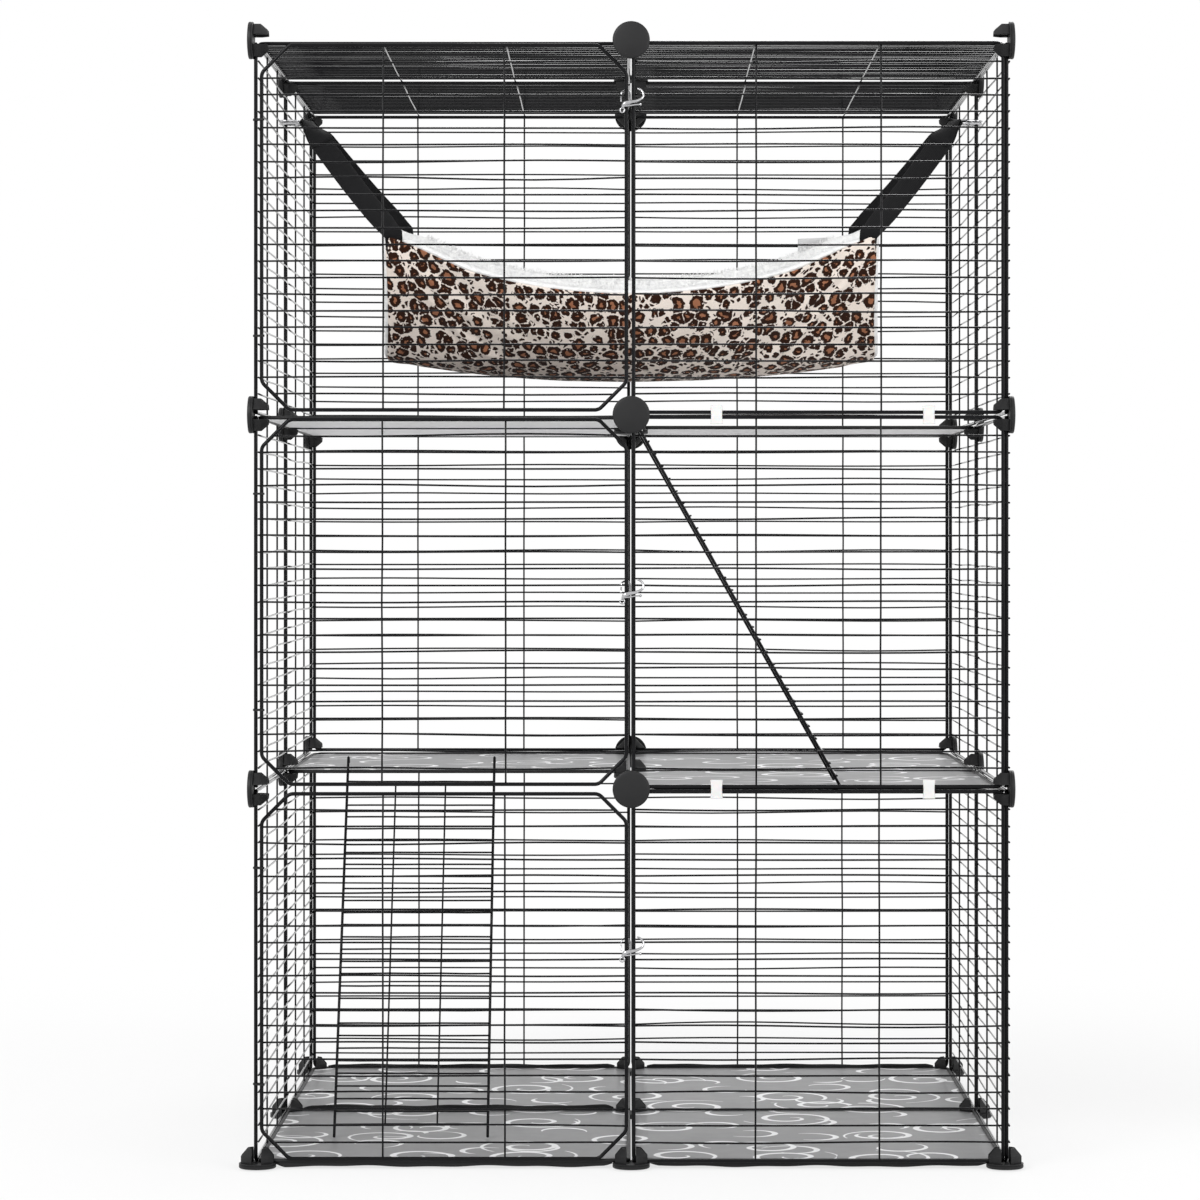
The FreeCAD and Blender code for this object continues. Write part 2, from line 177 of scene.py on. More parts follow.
# Hammock straps and hooks
YARN_PITCH, RIB_PITCH = 0.0019, 0.0014
STRAP_WIDTH = 0.023
STRAP_THICK = 0.0016
STRAP_INSET = 0.013
STRAP_FOLD = 0.028
STRAP_SAG = 0.0025
STRAP_PLAY = 0.0002
STRAP_TUCK = radians(6)
STRAP_DEPTH = 0.0034
STRAP_RISE = 0.0035
STRAP_GATHER = 0.86
STRAP_NECK = 0.004
STRAP_TAIL = 0.035
TUCK_WIDTH, FOOT_WIDTH, EDGE_WIDTH, TAIL_WIDTH = 0.60, 0.76, 0.80, 1.01
HOOK_WIRE = 0.0024
HOOK_LENGTH = 0.032
HOOK_HOLE = 0.010
HOOK_TURN = radians(25)
HOOK_GAP = 0.0006
HOOK_REACH = 0.00633
HOOK_ROUND = 0.46
SLEEVE_PLACE, SLEEVE_HALF, SLEEVE_RADIUS = 0.52, 0.0045, 0.0021

# Studio: lamps have a name, a place, a size and a power
LAMPS = (("key", (-1.9, -3.0, 2.6), 1.8, 98), ("fill", (2.4, -2.6, 1.6), 2.2, 50),
         ("rim", (0.6, 2.8, 2.6), 2.0, 40))
LAMP_AIM = Vector((0, 0, 0.55))
WORLD_LIGHT = 0.55
FLOOR_HALF = 12.0

# Photograph: 1200 pixels across, camera level and square to the front
PHOTO_WIDTH = 1200
FOCAL_PIXELS = 4268
CENTRE_PIXEL = 628
HORIZON_PIXEL = 540
CAMERA = Vector((-0.003, -4.354, 0.590))
SENSOR = 36.0


def shares(count):
    """Even steps from 0 to 1."""
    return [step / count for step in range(count + 1)]


def turns(count):
    """Even steps round a circle."""
    return [tau * step / count for step in range(count)]


def phases(name, count):
    """Starts of a few waves, which differ from piece to piece."""
    chance = random.Random(name)
    return [chance.uniform(0, tau) for _ in range(count)]


def sampled(spot, rows, columns):
    """Rows of points from a function of how far along and over they lie."""
    return [[spot(along, over) for along in shares(columns)] for over in shares(rows)]


def headings(path, closed):
    """The direction of a path at each of its points."""
    count = len(path)
    for index, spot in enumerate(path):
        before = path[index - 1] if index or closed else spot
        after = path[(index + 1) % count] if index < count - 1 or closed else spot
        yield (after - before).normalized()


class Shape:
    """Vertices and faces gathered from simple forms."""

    def __init__(self):
        self.verts, self.faces, self.cloth = [], [], []

    def add(self, verts, faces, cloth=()):
        """Cloth gives each vertex's place on the flat cloth, for woven or printed pieces."""
        start = len(self.verts)
        self.verts += [Vector(v) for v in verts]
        self.faces += [[start + index for index in face] for face in faces]
        self.cloth += list(cloth)
        return self

    def grid(self, rows, cloth=()):
        """A skin over rows of points."""
        count = len(rows[0])
        corners = [row * count + column for row in range(len(rows) - 1) for column in range(count - 1)]
        faces = [[corner, corner + 1, corner + count + 1, corner + count] for corner in corners]
        return self.add([spot for row in rows for spot in row], faces, cloth)

    def rings(self, verts, sides, closed, cloth=()):
        """A skin over rings of vertices, with a cap at each end unless it closes on itself."""
        count = len(verts) // sides
        faces = []
        for ring in range(count if closed else count - 1):
            low, high = ring * sides, (ring + 1) % count * sides
            for step in range(sides):
                after = (step + 1) % sides
                faces.append([low + step, low + after, high + after, high + step])
        if not closed:
            faces.append(list(range(sides))[::-1])
            faces.append([len(verts) - sides + step for step in range(sides)])
        return self.add(verts, faces, cloth)

    def ribbon(self, path, across, half_widths, half_thick, closed=False):
        """A flat band along a path; across points along its width at each place."""
        half = [(1, -0.5), (1, 0.5), (0.96, 1), (0.32, 1), (-0.32, 1), (-0.96, 1)]
        section = half + [(-offset, -height) for offset, height in half]
        verts, cloth = [], []
        along = 0.0
        for index, ahead in enumerate(headings(path, closed)):
            wide = (across[index] - ahead * across[index].dot(ahead)).normalized()
            face = ahead.cross(wide)
            along += (path[index] - path[index - 1]).length if index else 0.0
            for offset, height in section:
                side = offset * half_widths[index]
                verts.append(path[index] + wide * side + face * (height * half_thick))
                cloth.append((side, along, 0))
        return self.rings(verts, len(section), closed, cloth)

    def tube(self, path, radius, sides=10, closed=False):
        """A round wire along a path, with rounded ends where it is open. Radius may be one per point."""
        radii = radius if isinstance(radius, list) else [radius] * len(path)
        stations = []
        side = None
        for spot, ahead, size in zip(path, headings(path, closed), radii):
            if side is None:
                side = ahead.orthogonal().normalized()
            side = (side - ahead * side.dot(ahead)).normalized()
            stations.append((spot, ahead, side, size))
        if not closed:
            spot, ahead, side, size = stations[0]
            stations.insert(0, (spot - ahead * size * TIP_REACH, ahead, side, size * TIP_SIZE))
            spot, ahead, side, size = stations[-1]
            stations.append((spot + ahead * size * TIP_REACH, ahead, side, size * TIP_SIZE))
        verts = [spot + (side * cos(turn) + ahead.cross(side) * sin(turn)) * size
                 for spot, ahead, side, size in stations for turn in turns(sides)]
        return self.rings(verts, sides, closed)

    def mesh(self, name):
        made = bpy.data.meshes.new(name)
        made.from_pydata([tuple(v) for v in self.verts], [], self.faces)
        made.polygons.foreach_set("use_smooth", [True] * len(made.polygons))
        if self.cloth:
            places = made.attributes.new("cloth", "FLOAT_VECTOR", "POINT")
            places.data.foreach_set("vector", [number for place in self.cloth for number in place])
        made.update()
        return made


def curve(points, steps):
    """A smooth path through points, each of which may hold more numbers than a place."""
    path = []
    last = len(points) - 1
    for index in range(last):
        before, start = points[max(index - 1, 0)], points[index]
        end, after = points[index + 1], points[min(index + 2, last)]
        for step in range(steps + (index == last - 1)):
            t = step / steps
            path.append([0.5 * (2 * b + (c - a) * t + (2 * a - 5 * b + 4 * c - d) * t ** 2
                                + (3 * b - a - 3 * c + d) * t ** 3)
                         for a, b, c, d in zip(before, start, end, after)])
    return path


def rounded(corners, radius, steps=6, closed=True):
    """A path through corners, with each corner rounded by an arc."""
    path = []
    count = len(corners)
    for index, corner in enumerate(corners):
        if not closed and index in (0, count - 1):
            path.append(corner)
            continue
        before = (corners[index - 1] - corner).normalized()
        after = (corners[(index + 1) % count] - corner).normalized()
        half_turn = (pi - before.angle(after)) / 2
        start = corner + before * (radius * tan(half_turn))
        middle = corner + (before + after).normalized() * (radius / cos(half_turn))
        axis = before.cross(after).normalized()
        for share in shares(steps):
            path.append(middle + Matrix.Rotation(-2 * half_turn * share, 3, axis) @ (start - middle))
    return path


def linked(name, data):
    """A new object in the scene."""
    made = bpy.data.objects.new(name, data)
    bpy.context.scene.collection.objects.link(made)
    return made


def piece(name, form, look, slot, *nodes, body="cage", place=Matrix()):
    """A visible piece, of a shape or a shared mesh, that rides on a body and may stand for CAD nodes."""
    if isinstance(form, Shape):
        mesh = form.mesh(name)
        mesh.transform(place)
        made = linked(name, mesh)
    else:
        made = linked(name, form)
        made.matrix_world = place
    if not made.data.materials:
        made.data.materials.append(look)
    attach(made, body)
    if nodes:
        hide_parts(*nodes)
    return made


def thicken(made, thickness, offset=-1):
    """Gives a skin its thickness, behind its face or, at offset 1, in front of it."""
    body = made.modifiers.new("thickness", "SOLIDIFY")
    body.thickness = thickness
    body.offset = offset


def soften(made):
    """Smooths a piece by one level of subdivision."""
    smooth = made.modifiers.new("smooth", "SUBSURF")
    smooth.levels = smooth.render_levels = 1


def basis(origin, across, up):
    """Turns local x along across and local y along up."""
    normal = across.cross(up)
    return Matrix.Translation(origin) @ Matrix((across, up, normal)).transposed().to_4x4()


def corner_of(node, across, up):
    """Where a panel's own corner lies: at the face between its frame wire and its mesh wires."""
    low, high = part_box(node)
    normal = across.cross(up)
    toward = across + up - normal
    corner = Vector([low[axis] if toward[axis] > 0 else high[axis] for axis in range(3)])
    return corner - normal * FRAME_WIRE


def wall_line():
    """How far the outer lines of connectors lie from the middle."""
    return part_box("base_connectors")[1].x - DISC_RADIUS


class Number:
    """A number that changes over a surface: arithmetic with it makes nodes."""

    def __init__(self, nodes, socket):
        self.nodes, self.socket = nodes, socket

    def __add__(self, other):
        return self.nodes.math("ADD", self, other)

    def __sub__(self, other):
        return self.nodes.math("SUBTRACT", self, other)

    def __rsub__(self, other):
        return self.nodes.math("SUBTRACT", other, self)

    def __mul__(self, other):
        return self.nodes.math("MULTIPLY", self, other)

    def __truediv__(self, other):
        return self.nodes.math("DIVIDE", self, other)

    def __gt__(self, other):
        return self.nodes.math("GREATER_THAN", self, other)

    def __lt__(self, other):
        return self.nodes.math("LESS_THAN", self, other)

    def __abs__(self):
        return self.nodes.math("ABSOLUTE", self)


class Nodes:
    """The nodes of a material or a world."""

    def __init__(self, owner):
        owner.use_nodes = True
        self.tree = owner.node_tree

    def join(self, value, socket):
        """Sets an input, or links it to the output that it follows."""
        value = value.socket if isinstance(value, Number) else value
        if isinstance(value, bpy.types.NodeSocket):
            self.tree.links.new(value, socket)
        else:
            socket.default_value = (*value, 1) if socket.type == "RGBA" else value

    def node(self, kind, inputs=None, **settings):
        made = self.tree.nodes.new(f"ShaderNode{kind}")
        for name, value in settings.items():
            setattr(made, name, value)
        for name, value in (inputs or {}).items():
            self.join(value, made.inputs[name])
        return made

    def math(self, operation, first, second=0.0):
        return Number(self, self.node("Math", {0: first, 1: second}, operation=operation).outputs[0])

    def vector(self, operation, first, second):
        return self.node("VectorMath", {0: first, 1: second}, operation=operation).outputs["Vector"]

    def split(self, vector):
        """The three numbers of a vector or a colour."""
        made = self.node("SeparateXYZ", {"Vector": vector})
        return [Number(self, made.outputs[axis]) for axis in "XYZ"]

    def step(self, value, low, high, start=0.0):
        """A starting number below low, 1 above high, smooth between."""
        made = self.node("MapRange", {"Value": value, "From Min": low, "From Max": high, "To Min": start},
                         interpolation_type="SMOOTHSTEP")
        return Number(self, made.outputs["Result"])

    def between(self, value, low, high):
        """Spreads a 0 to 1 value from low to high."""
        made = self.node("MapRange", {"Value": value, "To Min": low, "To Max": high})
        return Number(self, made.outputs["Result"])

    def rays(self, *kinds):
        """1 for rays of these kinds, 0 for others."""
        path = self.node("LightPath")
        seen = Number(self, path.outputs[kinds[0]])
        for kind in kinds[1:]:
            seen = self.math("MAXIMUM", seen, path.outputs[kind])
        return seen


class Look(Nodes):
    """A material round one Principled shader, its patterns laid on cloth or in the object's space."""

    def __init__(self, name, cloth=False, **sockets):
        self.material = bpy.data.materials.new(name)
        super().__init__(self.material)
        self.shader = self.tree.nodes["Principled BSDF"]
        for socket, value in sockets.items():
            self.shader.inputs[socket.replace("_", " ")].default_value = value
        if cloth:
            self.spot = self.node("Attribute", attribute_name="cloth").outputs["Vector"]
        else:
            self.spot = self.node("TexCoord").outputs["Object"]

    def noise(self, scale, detail=3.0, rough=0.5):
        layout = {"Vector": self.spot, "Scale": scale, "Detail": detail, "Roughness": rough}
        return Number(self, self.node("TexNoise", layout).outputs["Fac"])

    def cells(self, vector, scale, randomness, feature="F1"):
        """A loose pattern of flat cells."""
        layout = {"Vector": vector, "Scale": scale, "Randomness": randomness}
        return self.node("TexVoronoi", layout, voronoi_dimensions="2D", feature=feature).outputs

    def mix(self, factor, first, second):
        """A colour from the first, at 0, to the second, at 1."""
        return self.node("Mix", {0: factor, 6: first, 7: second}, data_type="RGBA").outputs[2]

    def colour(self, value):
        self.join(value, self.shader.inputs["Base Color"])

    def roughness(self, value, low, high):
        self.join(self.between(value, low, high), self.shader.inputs["Roughness"])

    def bump(self, height, strength, distance):
        made = self.node("Bump", {"Height": height, "Strength": strength, "Distance": distance})
        self.join(made.outputs["Normal"], self.shader.inputs["Normal"])


def wire_look():
    """Glossy black coating that flows a little unevenly over steel wire."""
    look = Look("black_wire", Roughness=0.1, Specular_IOR_Level=0.03, Coat_Weight=0.6, Coat_Roughness=0.03,
                Coat_IOR=1.2)
    look.colour(look.mix(look.noise(60.0), (0.004, 0.004, 0.0045), (0.010, 0.010, 0.011)))
    look.roughness(look.noise(420.0), 0.04, 0.10)
    look.bump(look.noise(600.0), 0.02, 0.0003)
    return look.material


def connector_look():
    """Black moulded plastic with a fine satin grain."""
    look = Look("black_plastic", Roughness=0.45, Specular_IOR_Level=0.2)
    look.colour(look.mix(look.noise(45.0), (0.010, 0.010, 0.0105), (0.017, 0.017, 0.0175)))
    look.roughness(look.noise(700.0), 0.38, 0.58)
    look.bump(look.noise(2600.0, 4.0), 0.2, 0.0002)
    return look.material


def curls(look, scale, shift, first_turn, last_turn, width):
    """Where a curl runs: a brush stroke along part of a spiral in each cell of a loose pattern."""
    moved = look.vector("ADD", look.vector("MULTIPLY", look.spot, (1, 1, 0)), shift)
    cells = look.cells(moved, scale, 0.7)
    x, y, _ = look.split(look.vector("SUBTRACT", moved, cells["Position"]))
    side, start, length = look.split(cells["Color"])
    radius = Number(look, cells["Distance"])
    angle = look.math("ARCTAN2", x * look.math("SIGN", side - 0.5), y)
    around = look.math("FRACT", angle / tau + start)
    ring = look.math("ROUND", (radius - CURL_START) / CURL_PITCH - around)
    turn = look.math("MAXIMUM", ring, 0.0) + around
    span = (turn - first_turn) / (length * 0.5 + (last_turn - 0.5) - first_turn)
    inside = (span > 0.0) * (span < 1.0)
    brush = look.math("SINE", span * inside * pi) * width + CURL_THIN
    gap = abs(radius - (turn * CURL_PITCH + CURL_START))
    return (1.0 - look.step(gap - brush, -CURL_SOFT, CURL_SOFT)) * inside


def tray_look():
    """Grey sheet, its top printed with pale curls and shorter hooks between, its back plain and paler."""
    look = Look("tray_sheet", Roughness=0.4, Specular_IOR_Level=0.1)
    spirals = curls(look, 8.2, (0.013, 0.027, 0.0), 0.0, 1.75, 0.022)
    hooks = curls(look, 11.5, (0.371, 0.215, 0.0), 0.7, 1.5, 0.030)
    line = look.math("MAXIMUM", spirals, hooks)
    grey = look.mix(look.noise(9.0), (0.235, 0.235, 0.239), (0.285, 0.285, 0.29))
    printed = look.mix(line, grey, (0.93, 0.93, 0.94))
    _, _, upward = look.split(look.node("TexCoord").outputs["Normal"])
    look.colour(look.mix(look.step(upward, -0.6, -0.2), (0.83, 0.83, 0.835), printed))
    look.roughness(look.noise(60.0), 0.32, 0.46)
    look.bump(line * 0.5 + look.noise(70.0, 2.0), 0.06, 0.0004)
    return look.material


def steel_look():
    """Bright nickel plating with fine scuffs."""
    look = Look("bright_metal", Metallic=1.0, Roughness=0.2)
    look.colour(look.mix(look.noise(300.0), (0.34, 0.34, 0.35), (0.62, 0.62, 0.63)))
    look.roughness(look.noise(1500.0), 0.08, 0.26)
    look.bump(look.noise(2400.0), 0.1, 0.0002)
    return look.material


def clip_look():
    """Translucent white moulded plastic."""
    look = Look("white_plastic", Roughness=0.4, Subsurface_Weight=0.2, Subsurface_Scale=0.002)
    look.colour(look.mix(look.noise(200.0), (0.60, 0.60, 0.595), (0.70, 0.70, 0.69)))
    look.bump(look.noise(1800.0), 0.15, 0.0002)
    return look.material


def spots(look, plane, scale, shift, margin, reach, kept):
    """How deep a place lies inside its cell's spot, below 0 outside; some cells have none."""
    moved = look.vector("ADD", plane, shift)
    cells = look.cells(moved, scale, 0.9)
    border = Number(look, look.cells(moved, scale, 0.9, "DISTANCE_TO_EDGE")["Distance"])
    _, size, luck = look.split(cells["Color"])
    inside = look.between(size, *reach) - cells["Distance"]
    return look.math("MINIMUM", border - margin, inside) - (luck > kept)


def print_look():
    """Short plush printed with rosettes: dark uneven rings round rusty middles, with small flecks between."""
    look = Look("leopard_plush", cloth=True, Roughness=0.85, Specular_IOR_Level=0.1, Sheen_Weight=0.08,
                Sheen_Roughness=0.45)
    wobble = look.node("TexNoise", {"Vector": look.spot, "Scale": 75.0, "Detail": 2.0}).outputs["Color"]
    sway = look.vector("MULTIPLY", look.vector("SUBTRACT", wobble, (0.5, 0.5, 0.5)), (0.009, 0.009, 0))
    plane = look.vector("MULTIPLY", look.vector("ADD", look.spot, sway), (1.0, 0.84, 0))
    nicks = look.noise(330.0, 2.0) - 0.5
    rosette = spots(look, plane, 74.0, (0.0, 0.0, 0.0), 0.028, (0.29, 0.64), 0.98)
    fleck = spots(look, plane, 150.0, (0.313, 0.171, 0.0), 0.07, (0.22, 0.45), 0.74)
    room = 1.0 - look.step(rosette, -0.15, -0.11)
    breaks = look.step(look.noise(190.0, 1.0), 0.69, 0.74)
    rosette_edge = nicks * 0.34 + rosette
    rosette_dark = look.step(rosette_edge, -0.02, 0.02) * (1.0 - breaks)
    fleck_dark = look.step(nicks * 0.5 + fleck, -0.04, 0.04) * room
    dark = look.math("MAXIMUM", rosette_dark, fleck_dark)
    rust = look.step(rosette_edge, 0.265, 0.305)
    cream = look.mix(look.noise(14.0), (0.86, 0.755, 0.67), (0.95, 0.86, 0.79))
    brown = look.mix(look.noise(90.0), (0.24, 0.090, 0.042), (0.48, 0.21, 0.115))
    dyed = look.mix(rust, look.mix(dark, cream, (0.028, 0.0095, 0.0045)), brown)
    pile = look.noise(700.0, 4.0, 0.6)
    shade = {0: dyed, "Scale": look.between(pile, 0.76, 1.10)}
    look.colour(look.node("VectorMath", shade, operation="SCALE").outputs["Vector"])
    look.roughness(pile, 0.75, 0.95)
    look.bump(pile, 0.5, 0.0008)
    return look.material


def fleece_look():
    """Fluffy white fleece, painted greyer where its tufts dip, as shade between them."""
    look = Look("white_fleece", Roughness=0.95, Specular_IOR_Level=0.15, Sheen_Weight=0.35,
                Sheen_Roughness=0.5)
    tufts = look.step(look.noise(170.0, 5.0, 0.7), 0.30, 0.68)
    # Painted shade: the colour runs from grey where the tufts dip to white on their tops.
    look.colour(look.mix(tufts, (0.83, 0.83, 0.835), (0.98, 0.98, 0.97)))
    look.roughness(tufts, 0.85, 1.0)
    look.bump(tufts, 0.5, 0.0008)
    return look.material


def webbing_look():
    """Black woven webbing: ribs across the strap, broken by its long yarns."""
    look = Look("webbing", cloth=True, Roughness=0.8, Specular_IOR_Level=0.12, Sheen_Weight=0.06)
    x, y, _ = look.split(look.spot)
    yarn = look.math("SINE", x * (tau / YARN_PITCH))
    rib = look.math("SINE", (yarn * 0.0004 + y) * (tau / RIB_PITCH))
    weave = rib * yarn * 0.3 + (rib * 0.25 + 0.5)
    look.colour(look.mix(weave, (0.003, 0.003, 0.0035), (0.011, 0.011, 0.012)))
    look.roughness(look.noise(900.0), 0.7, 0.95)
    look.bump(weave, 0.6, 0.0004)
    return look.material


def tag_look():
    """Blank satin tag."""
    look = Look("blank_tag", Roughness=0.55, Sheen_Weight=0.15)
    look.colour(look.mix(look.noise(400.0), (0.60, 0.60, 0.61), (0.68, 0.68, 0.68)))
    look.bump(look.noise(2500.0), 0.3, 0.0002)
    return look.material


def floor_look():
    """Pale matte floor that keeps a shadow near the object and looks white further out."""
    paint = bpy.data.materials.new("floor")
    nodes = Nodes(paint)
    nodes.tree.nodes.remove(nodes.tree.nodes["Principled BSDF"])
    matte = nodes.node("BsdfDiffuse", {"Color": (0.9, 0.9, 0.9)})
    glow = nodes.node("Emission")
    place = nodes.node("NewGeometry").outputs["Position"]
    away = nodes.node("VectorMath", {0: place}, operation="LENGTH").outputs["Value"]
    white = nodes.rays("Is Camera Ray", "Is Glossy Ray") * nodes.step(away, 0.4, 1.6, 0.72)
    blend = nodes.node("MixShader", {"Fac": white, 1: matte.outputs[0], 2: glow.outputs[0]})
    nodes.join(blend.outputs[0], nodes.tree.nodes["Material Output"].inputs["Surface"])
    return paint


def frame_path(width, depth, bend, corner, height):
    """Middle line of a bent frame wire, with cut-off or rounded corners."""
    low, right, rear = FRAME_WIRE / 2, width - FRAME_WIRE / 2, depth - FRAME_WIRE / 2
    if bend:
        leg = bend - low * (2 - sqrt(2))
        corners = [(low + leg, low), (right - leg, low), (right, low + leg), (right, rear - leg),
                   (right - leg, rear), (low + leg, rear), (low, rear - leg), (low, low + leg)]
    else:
        corners = [(low, low), (right, low), (right, rear), (low, rear)]
    return rounded([Vector((x, y, height)) for x, y in corners], corner)


def panel_shape(name, size, bend, corner):
    """Frame wire, thin wires welded across its back and braces between them, none of them quite straight."""
    chance = random.Random(name)
    shape = Shape()
    shape.tube(frame_path(size, size, bend, corner, FRAME_WIRE / 2), FRAME_WIRE / 2, ROUND_SIDES, closed=True)
    margin = (size - (MESH_COUNT - 1) * MESH_PITCH) / 2
    for index in range(MESH_COUNT):
        height = margin + index * MESH_PITCH
        start = max(FRAME_WIRE / 2, bend + FRAME_WIRE / sqrt(2) - min(height, size - height))
        tilt, bow, sway = [chance.gauss(0, WIRE_BOW) for _ in range(3)]
        path = []
        for share in shares(8):
            shift = tilt * (share - 0.5) + bow * sin(pi * share) + sway * sin(tau * share)
            path.append(Vector((start + (size - 2 * start) * share, height + shift, -MESH_DEPTH)))
        shape.tube(path, MESH_WIRE / 2, MESH_SIDES)
    for index in range(BRACE_COUNT):
        middle = size * (index + 1) / (BRACE_COUNT + 1) + chance.gauss(0, WIRE_BOW)
        path = []
        for share in shares(6):
            bow = chance.gauss(0, WIRE_BOW / 3)
            path.append(Vector((middle + bow, BRACE_INSET + (size - 2 * BRACE_INSET) * share, MESH_DEPTH)))
        shape.tube(path, MESH_WIRE / 2, MESH_SIDES)
    return shape


def make_panels(look):
    """Walls and roof."""
    families = {"front_panel": (X, Z), "back_panel": (-X, Z), "left_panel": (-Y, Z), "right_panel": (-Y, Z),
                "top_panel": (X, -Y)}
    for node in sorted(frame["nodes"]):
        for family, (across, up) in families.items():
            if node.startswith(family):
                low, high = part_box(node)
                shape = panel_shape(f"{node}_wires", max(high - low), 0.0, PANEL_CORNER)
                place = basis(corner_of(node, across, up), across, up)
                piece(f"{node}_wires", shape, look, "wire", node, place=place)


def make_doors(look):
    """Doors with cut-off corners."""
    for tier in TIERS:
        node = f"{tier}_door"
        low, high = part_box(node)
        shape = panel_shape(f"{node}_wires", high.x - low.x, DOOR_BEND, DOOR_CORNER)
        place = basis(corner_of(node, X, Z), X, Z)
        piece(f"{node}_wires", shape, look, "wire", node, body=node, place=place)


def disc_shape():
    """Domed disc with a parting groove round its edge."""
    rim, groove = DISC_DOME - DISC_THICK, DISC_RADIUS - GROOVE_DEPTH
    profile = []
    for share in (0.25, 0.5, 0.7, 0.85, 0.94):
        profile.append((DISC_RADIUS * share, DISC_DOME * share ** 2 - DISC_THICK))
    profile += [(DISC_RADIUS * 0.985, rim + 0.0003), (DISC_RADIUS, rim + 0.0009), (DISC_RADIUS, -0.0019),
                (groove, -0.0016), (groove, -0.0013), (DISC_RADIUS, -0.0010), (DISC_RADIUS, -0.0003),
                (groove, 0.0)]
    verts = [(radius * cos(turn), radius * sin(turn), height)
             for radius, height in profile for turn in turns(DISC_SIDES)]
    centre = len(verts)
    last = centre - DISC_SIDES
    faces = []
    for low in range(0, last, DISC_SIDES):
        high = low + DISC_SIDES
        for step in range(DISC_SIDES):
            after = (step + 1) % DISC_SIDES
            faces.append([low + step, high + step, high + after, low + after])
    for step in range(DISC_SIDES):
        after = (step + 1) % DISC_SIDES
        faces += [[centre, step, after], [centre + 1, last + after, last + step]]
    return Shape().add(verts + [(0, 0, -DISC_THICK), (0, 0, 0)], faces)


def connector_mesh():
    """Disc with four sloped blocks round a cross slot."""
    made = bmesh.new()
    levels = ((BLOCK_REACH, -BLOCK_EASE), (BLOCK_REACH, BLOCK_SHOULDER), (BLOCK_TIP_REACH, BLOCK_HEIGHT))
    for quarter in range(4):
        turn = Matrix.Rotation(quarter * pi / 2, 4, "Z")
        layers = []
        for reach, height in levels:
            half = [(BLOCK_NOTCH, SLOT_HALF), (reach, SLOT_HALF)]
            outline = half + [(y, x) for x, y in half[::-1]]
            layers.append([made.verts.new(turn @ Vector((x, y, height))) for x, y in outline])
        for near, far in zip(layers, layers[1:]):
            for index in range(4):
                after = (index + 1) % 4
                made.faces.new([near[index], near[after], far[after], far[index]])
        made.faces.new(layers[-1])
        made.faces.new(layers[0][::-1])
    bmesh.ops.recalc_face_normals(made, faces=made.faces)
    sharp = [edge for edge in made.edges if edge.is_manifold and edge.calc_face_angle() > BLOCK_SHARP]
    bmesh.ops.bevel(made, geom=sharp, offset=BLOCK_EASE, segments=2, affect="EDGES", profile=0.6)
    made.from_mesh(disc_shape().mesh("connector_disc"))
    mesh = bpy.data.meshes.new("connector")
    made.to_mesh(mesh)
    made.free()
    mesh.polygons.foreach_set("use_smooth", [True] * len(mesh.polygons))
    mesh.set_sharp_from_angle(angle=radians(35))
    return mesh


def make_connectors(look):
    """Connectors under the floor, on the walls and at the middle of each level."""
    mesh = connector_mesh()
    side = wall_line()
    lines = (-side, 0.0, side)
    wall = side + FRAME_WIRE
    bottoms = [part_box(f"front_panel_{tier}")[0].z for tier in TIERS]
    pitch = bottoms[1] - bottoms[0]
    gap = pitch - (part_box("front_panel_lower")[1].z - bottoms[0])
    counts = {}

    def put(kind, origin, outward, along):
        counts[kind] = counts.get(kind, 0) + 1
        place = basis(Vector(origin), along, (-outward).cross(along))
        piece(f"{kind}_{counts[kind]}", mesh, look, "connector", f"{kind}s", place=place)

    for x in lines:
        for y in lines:
            put("base_connector", (x, y, DISC_THICK), -Z, X)
    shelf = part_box("shelf_tray_frames")[0].z
    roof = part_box("top_panel_front_left")[0].z + FRAME_WIRE
    for tier in range(1, len(TIERS) + 1):
        height = bottoms[0] + tier * pitch - gap / 2
        for y in lines:
            for sign in (-1, 1):
                put("wall_connector", (sign * wall, y, height), X * sign, Y)
        for sign in (-1, 1):
            put("wall_connector", (0, sign * wall, height), Y * sign, X)
        if tier == len(TIERS):
            put("centre_connector", (0, 0, roof), Z, X)
        else:
            put("centre_connector", (0, 0, shelf + (tier - 1) * pitch), -Z, X)


def sheet_shape(name, low, high):
    """A thin sheet with cut-off corners that doesn't lie quite flat."""
    phase = phases(name, 3)

    def lines(start, end):
        inner = [start + SHEET_CUT + (end - start - 2 * SHEET_CUT) * share for share in shares(24)]
        return [start] + inner + [end]

    def spot(x, y):
        u, v = (x - low.x) / (high.x - low.x), (y - low.y) / (high.y - low.y)
        calm = min(1.0, 8 * min(u, 1 - u, v, 1 - v))
        wave = sin(7 * u + phase[0]) * sin(5 * v + phase[1])
        ripple = 0.6 * sin(11 * v + 4 * u + phase[2])
        return (x, y, high.z + SHEET_WAVE * (wave + ripple) * calm)

    xs, ys = lines(low.x, high.x), lines(low.y, high.y)
    verts = [spot(x, y) for y in ys for x in xs]
    count = len(xs)
    faces = []
    for row in range(count - 1):
        for column in range(count - 1):
            corner = row * count + column
            quad = [corner, corner + 1, corner + count + 1, corner + count]
            if row in (0, count - 2) and column in (0, count - 2):
                quad.remove(corner + (count if row else 0) + (1 if column else 0))
            faces.append(quad)
    kept = sorted({index for face in faces for index in face})
    number = {index: place for place, index in enumerate(kept)}
    faces = [[number[index] for index in face] for face in faces]
    return Shape().add([verts[index] for index in kept], faces)


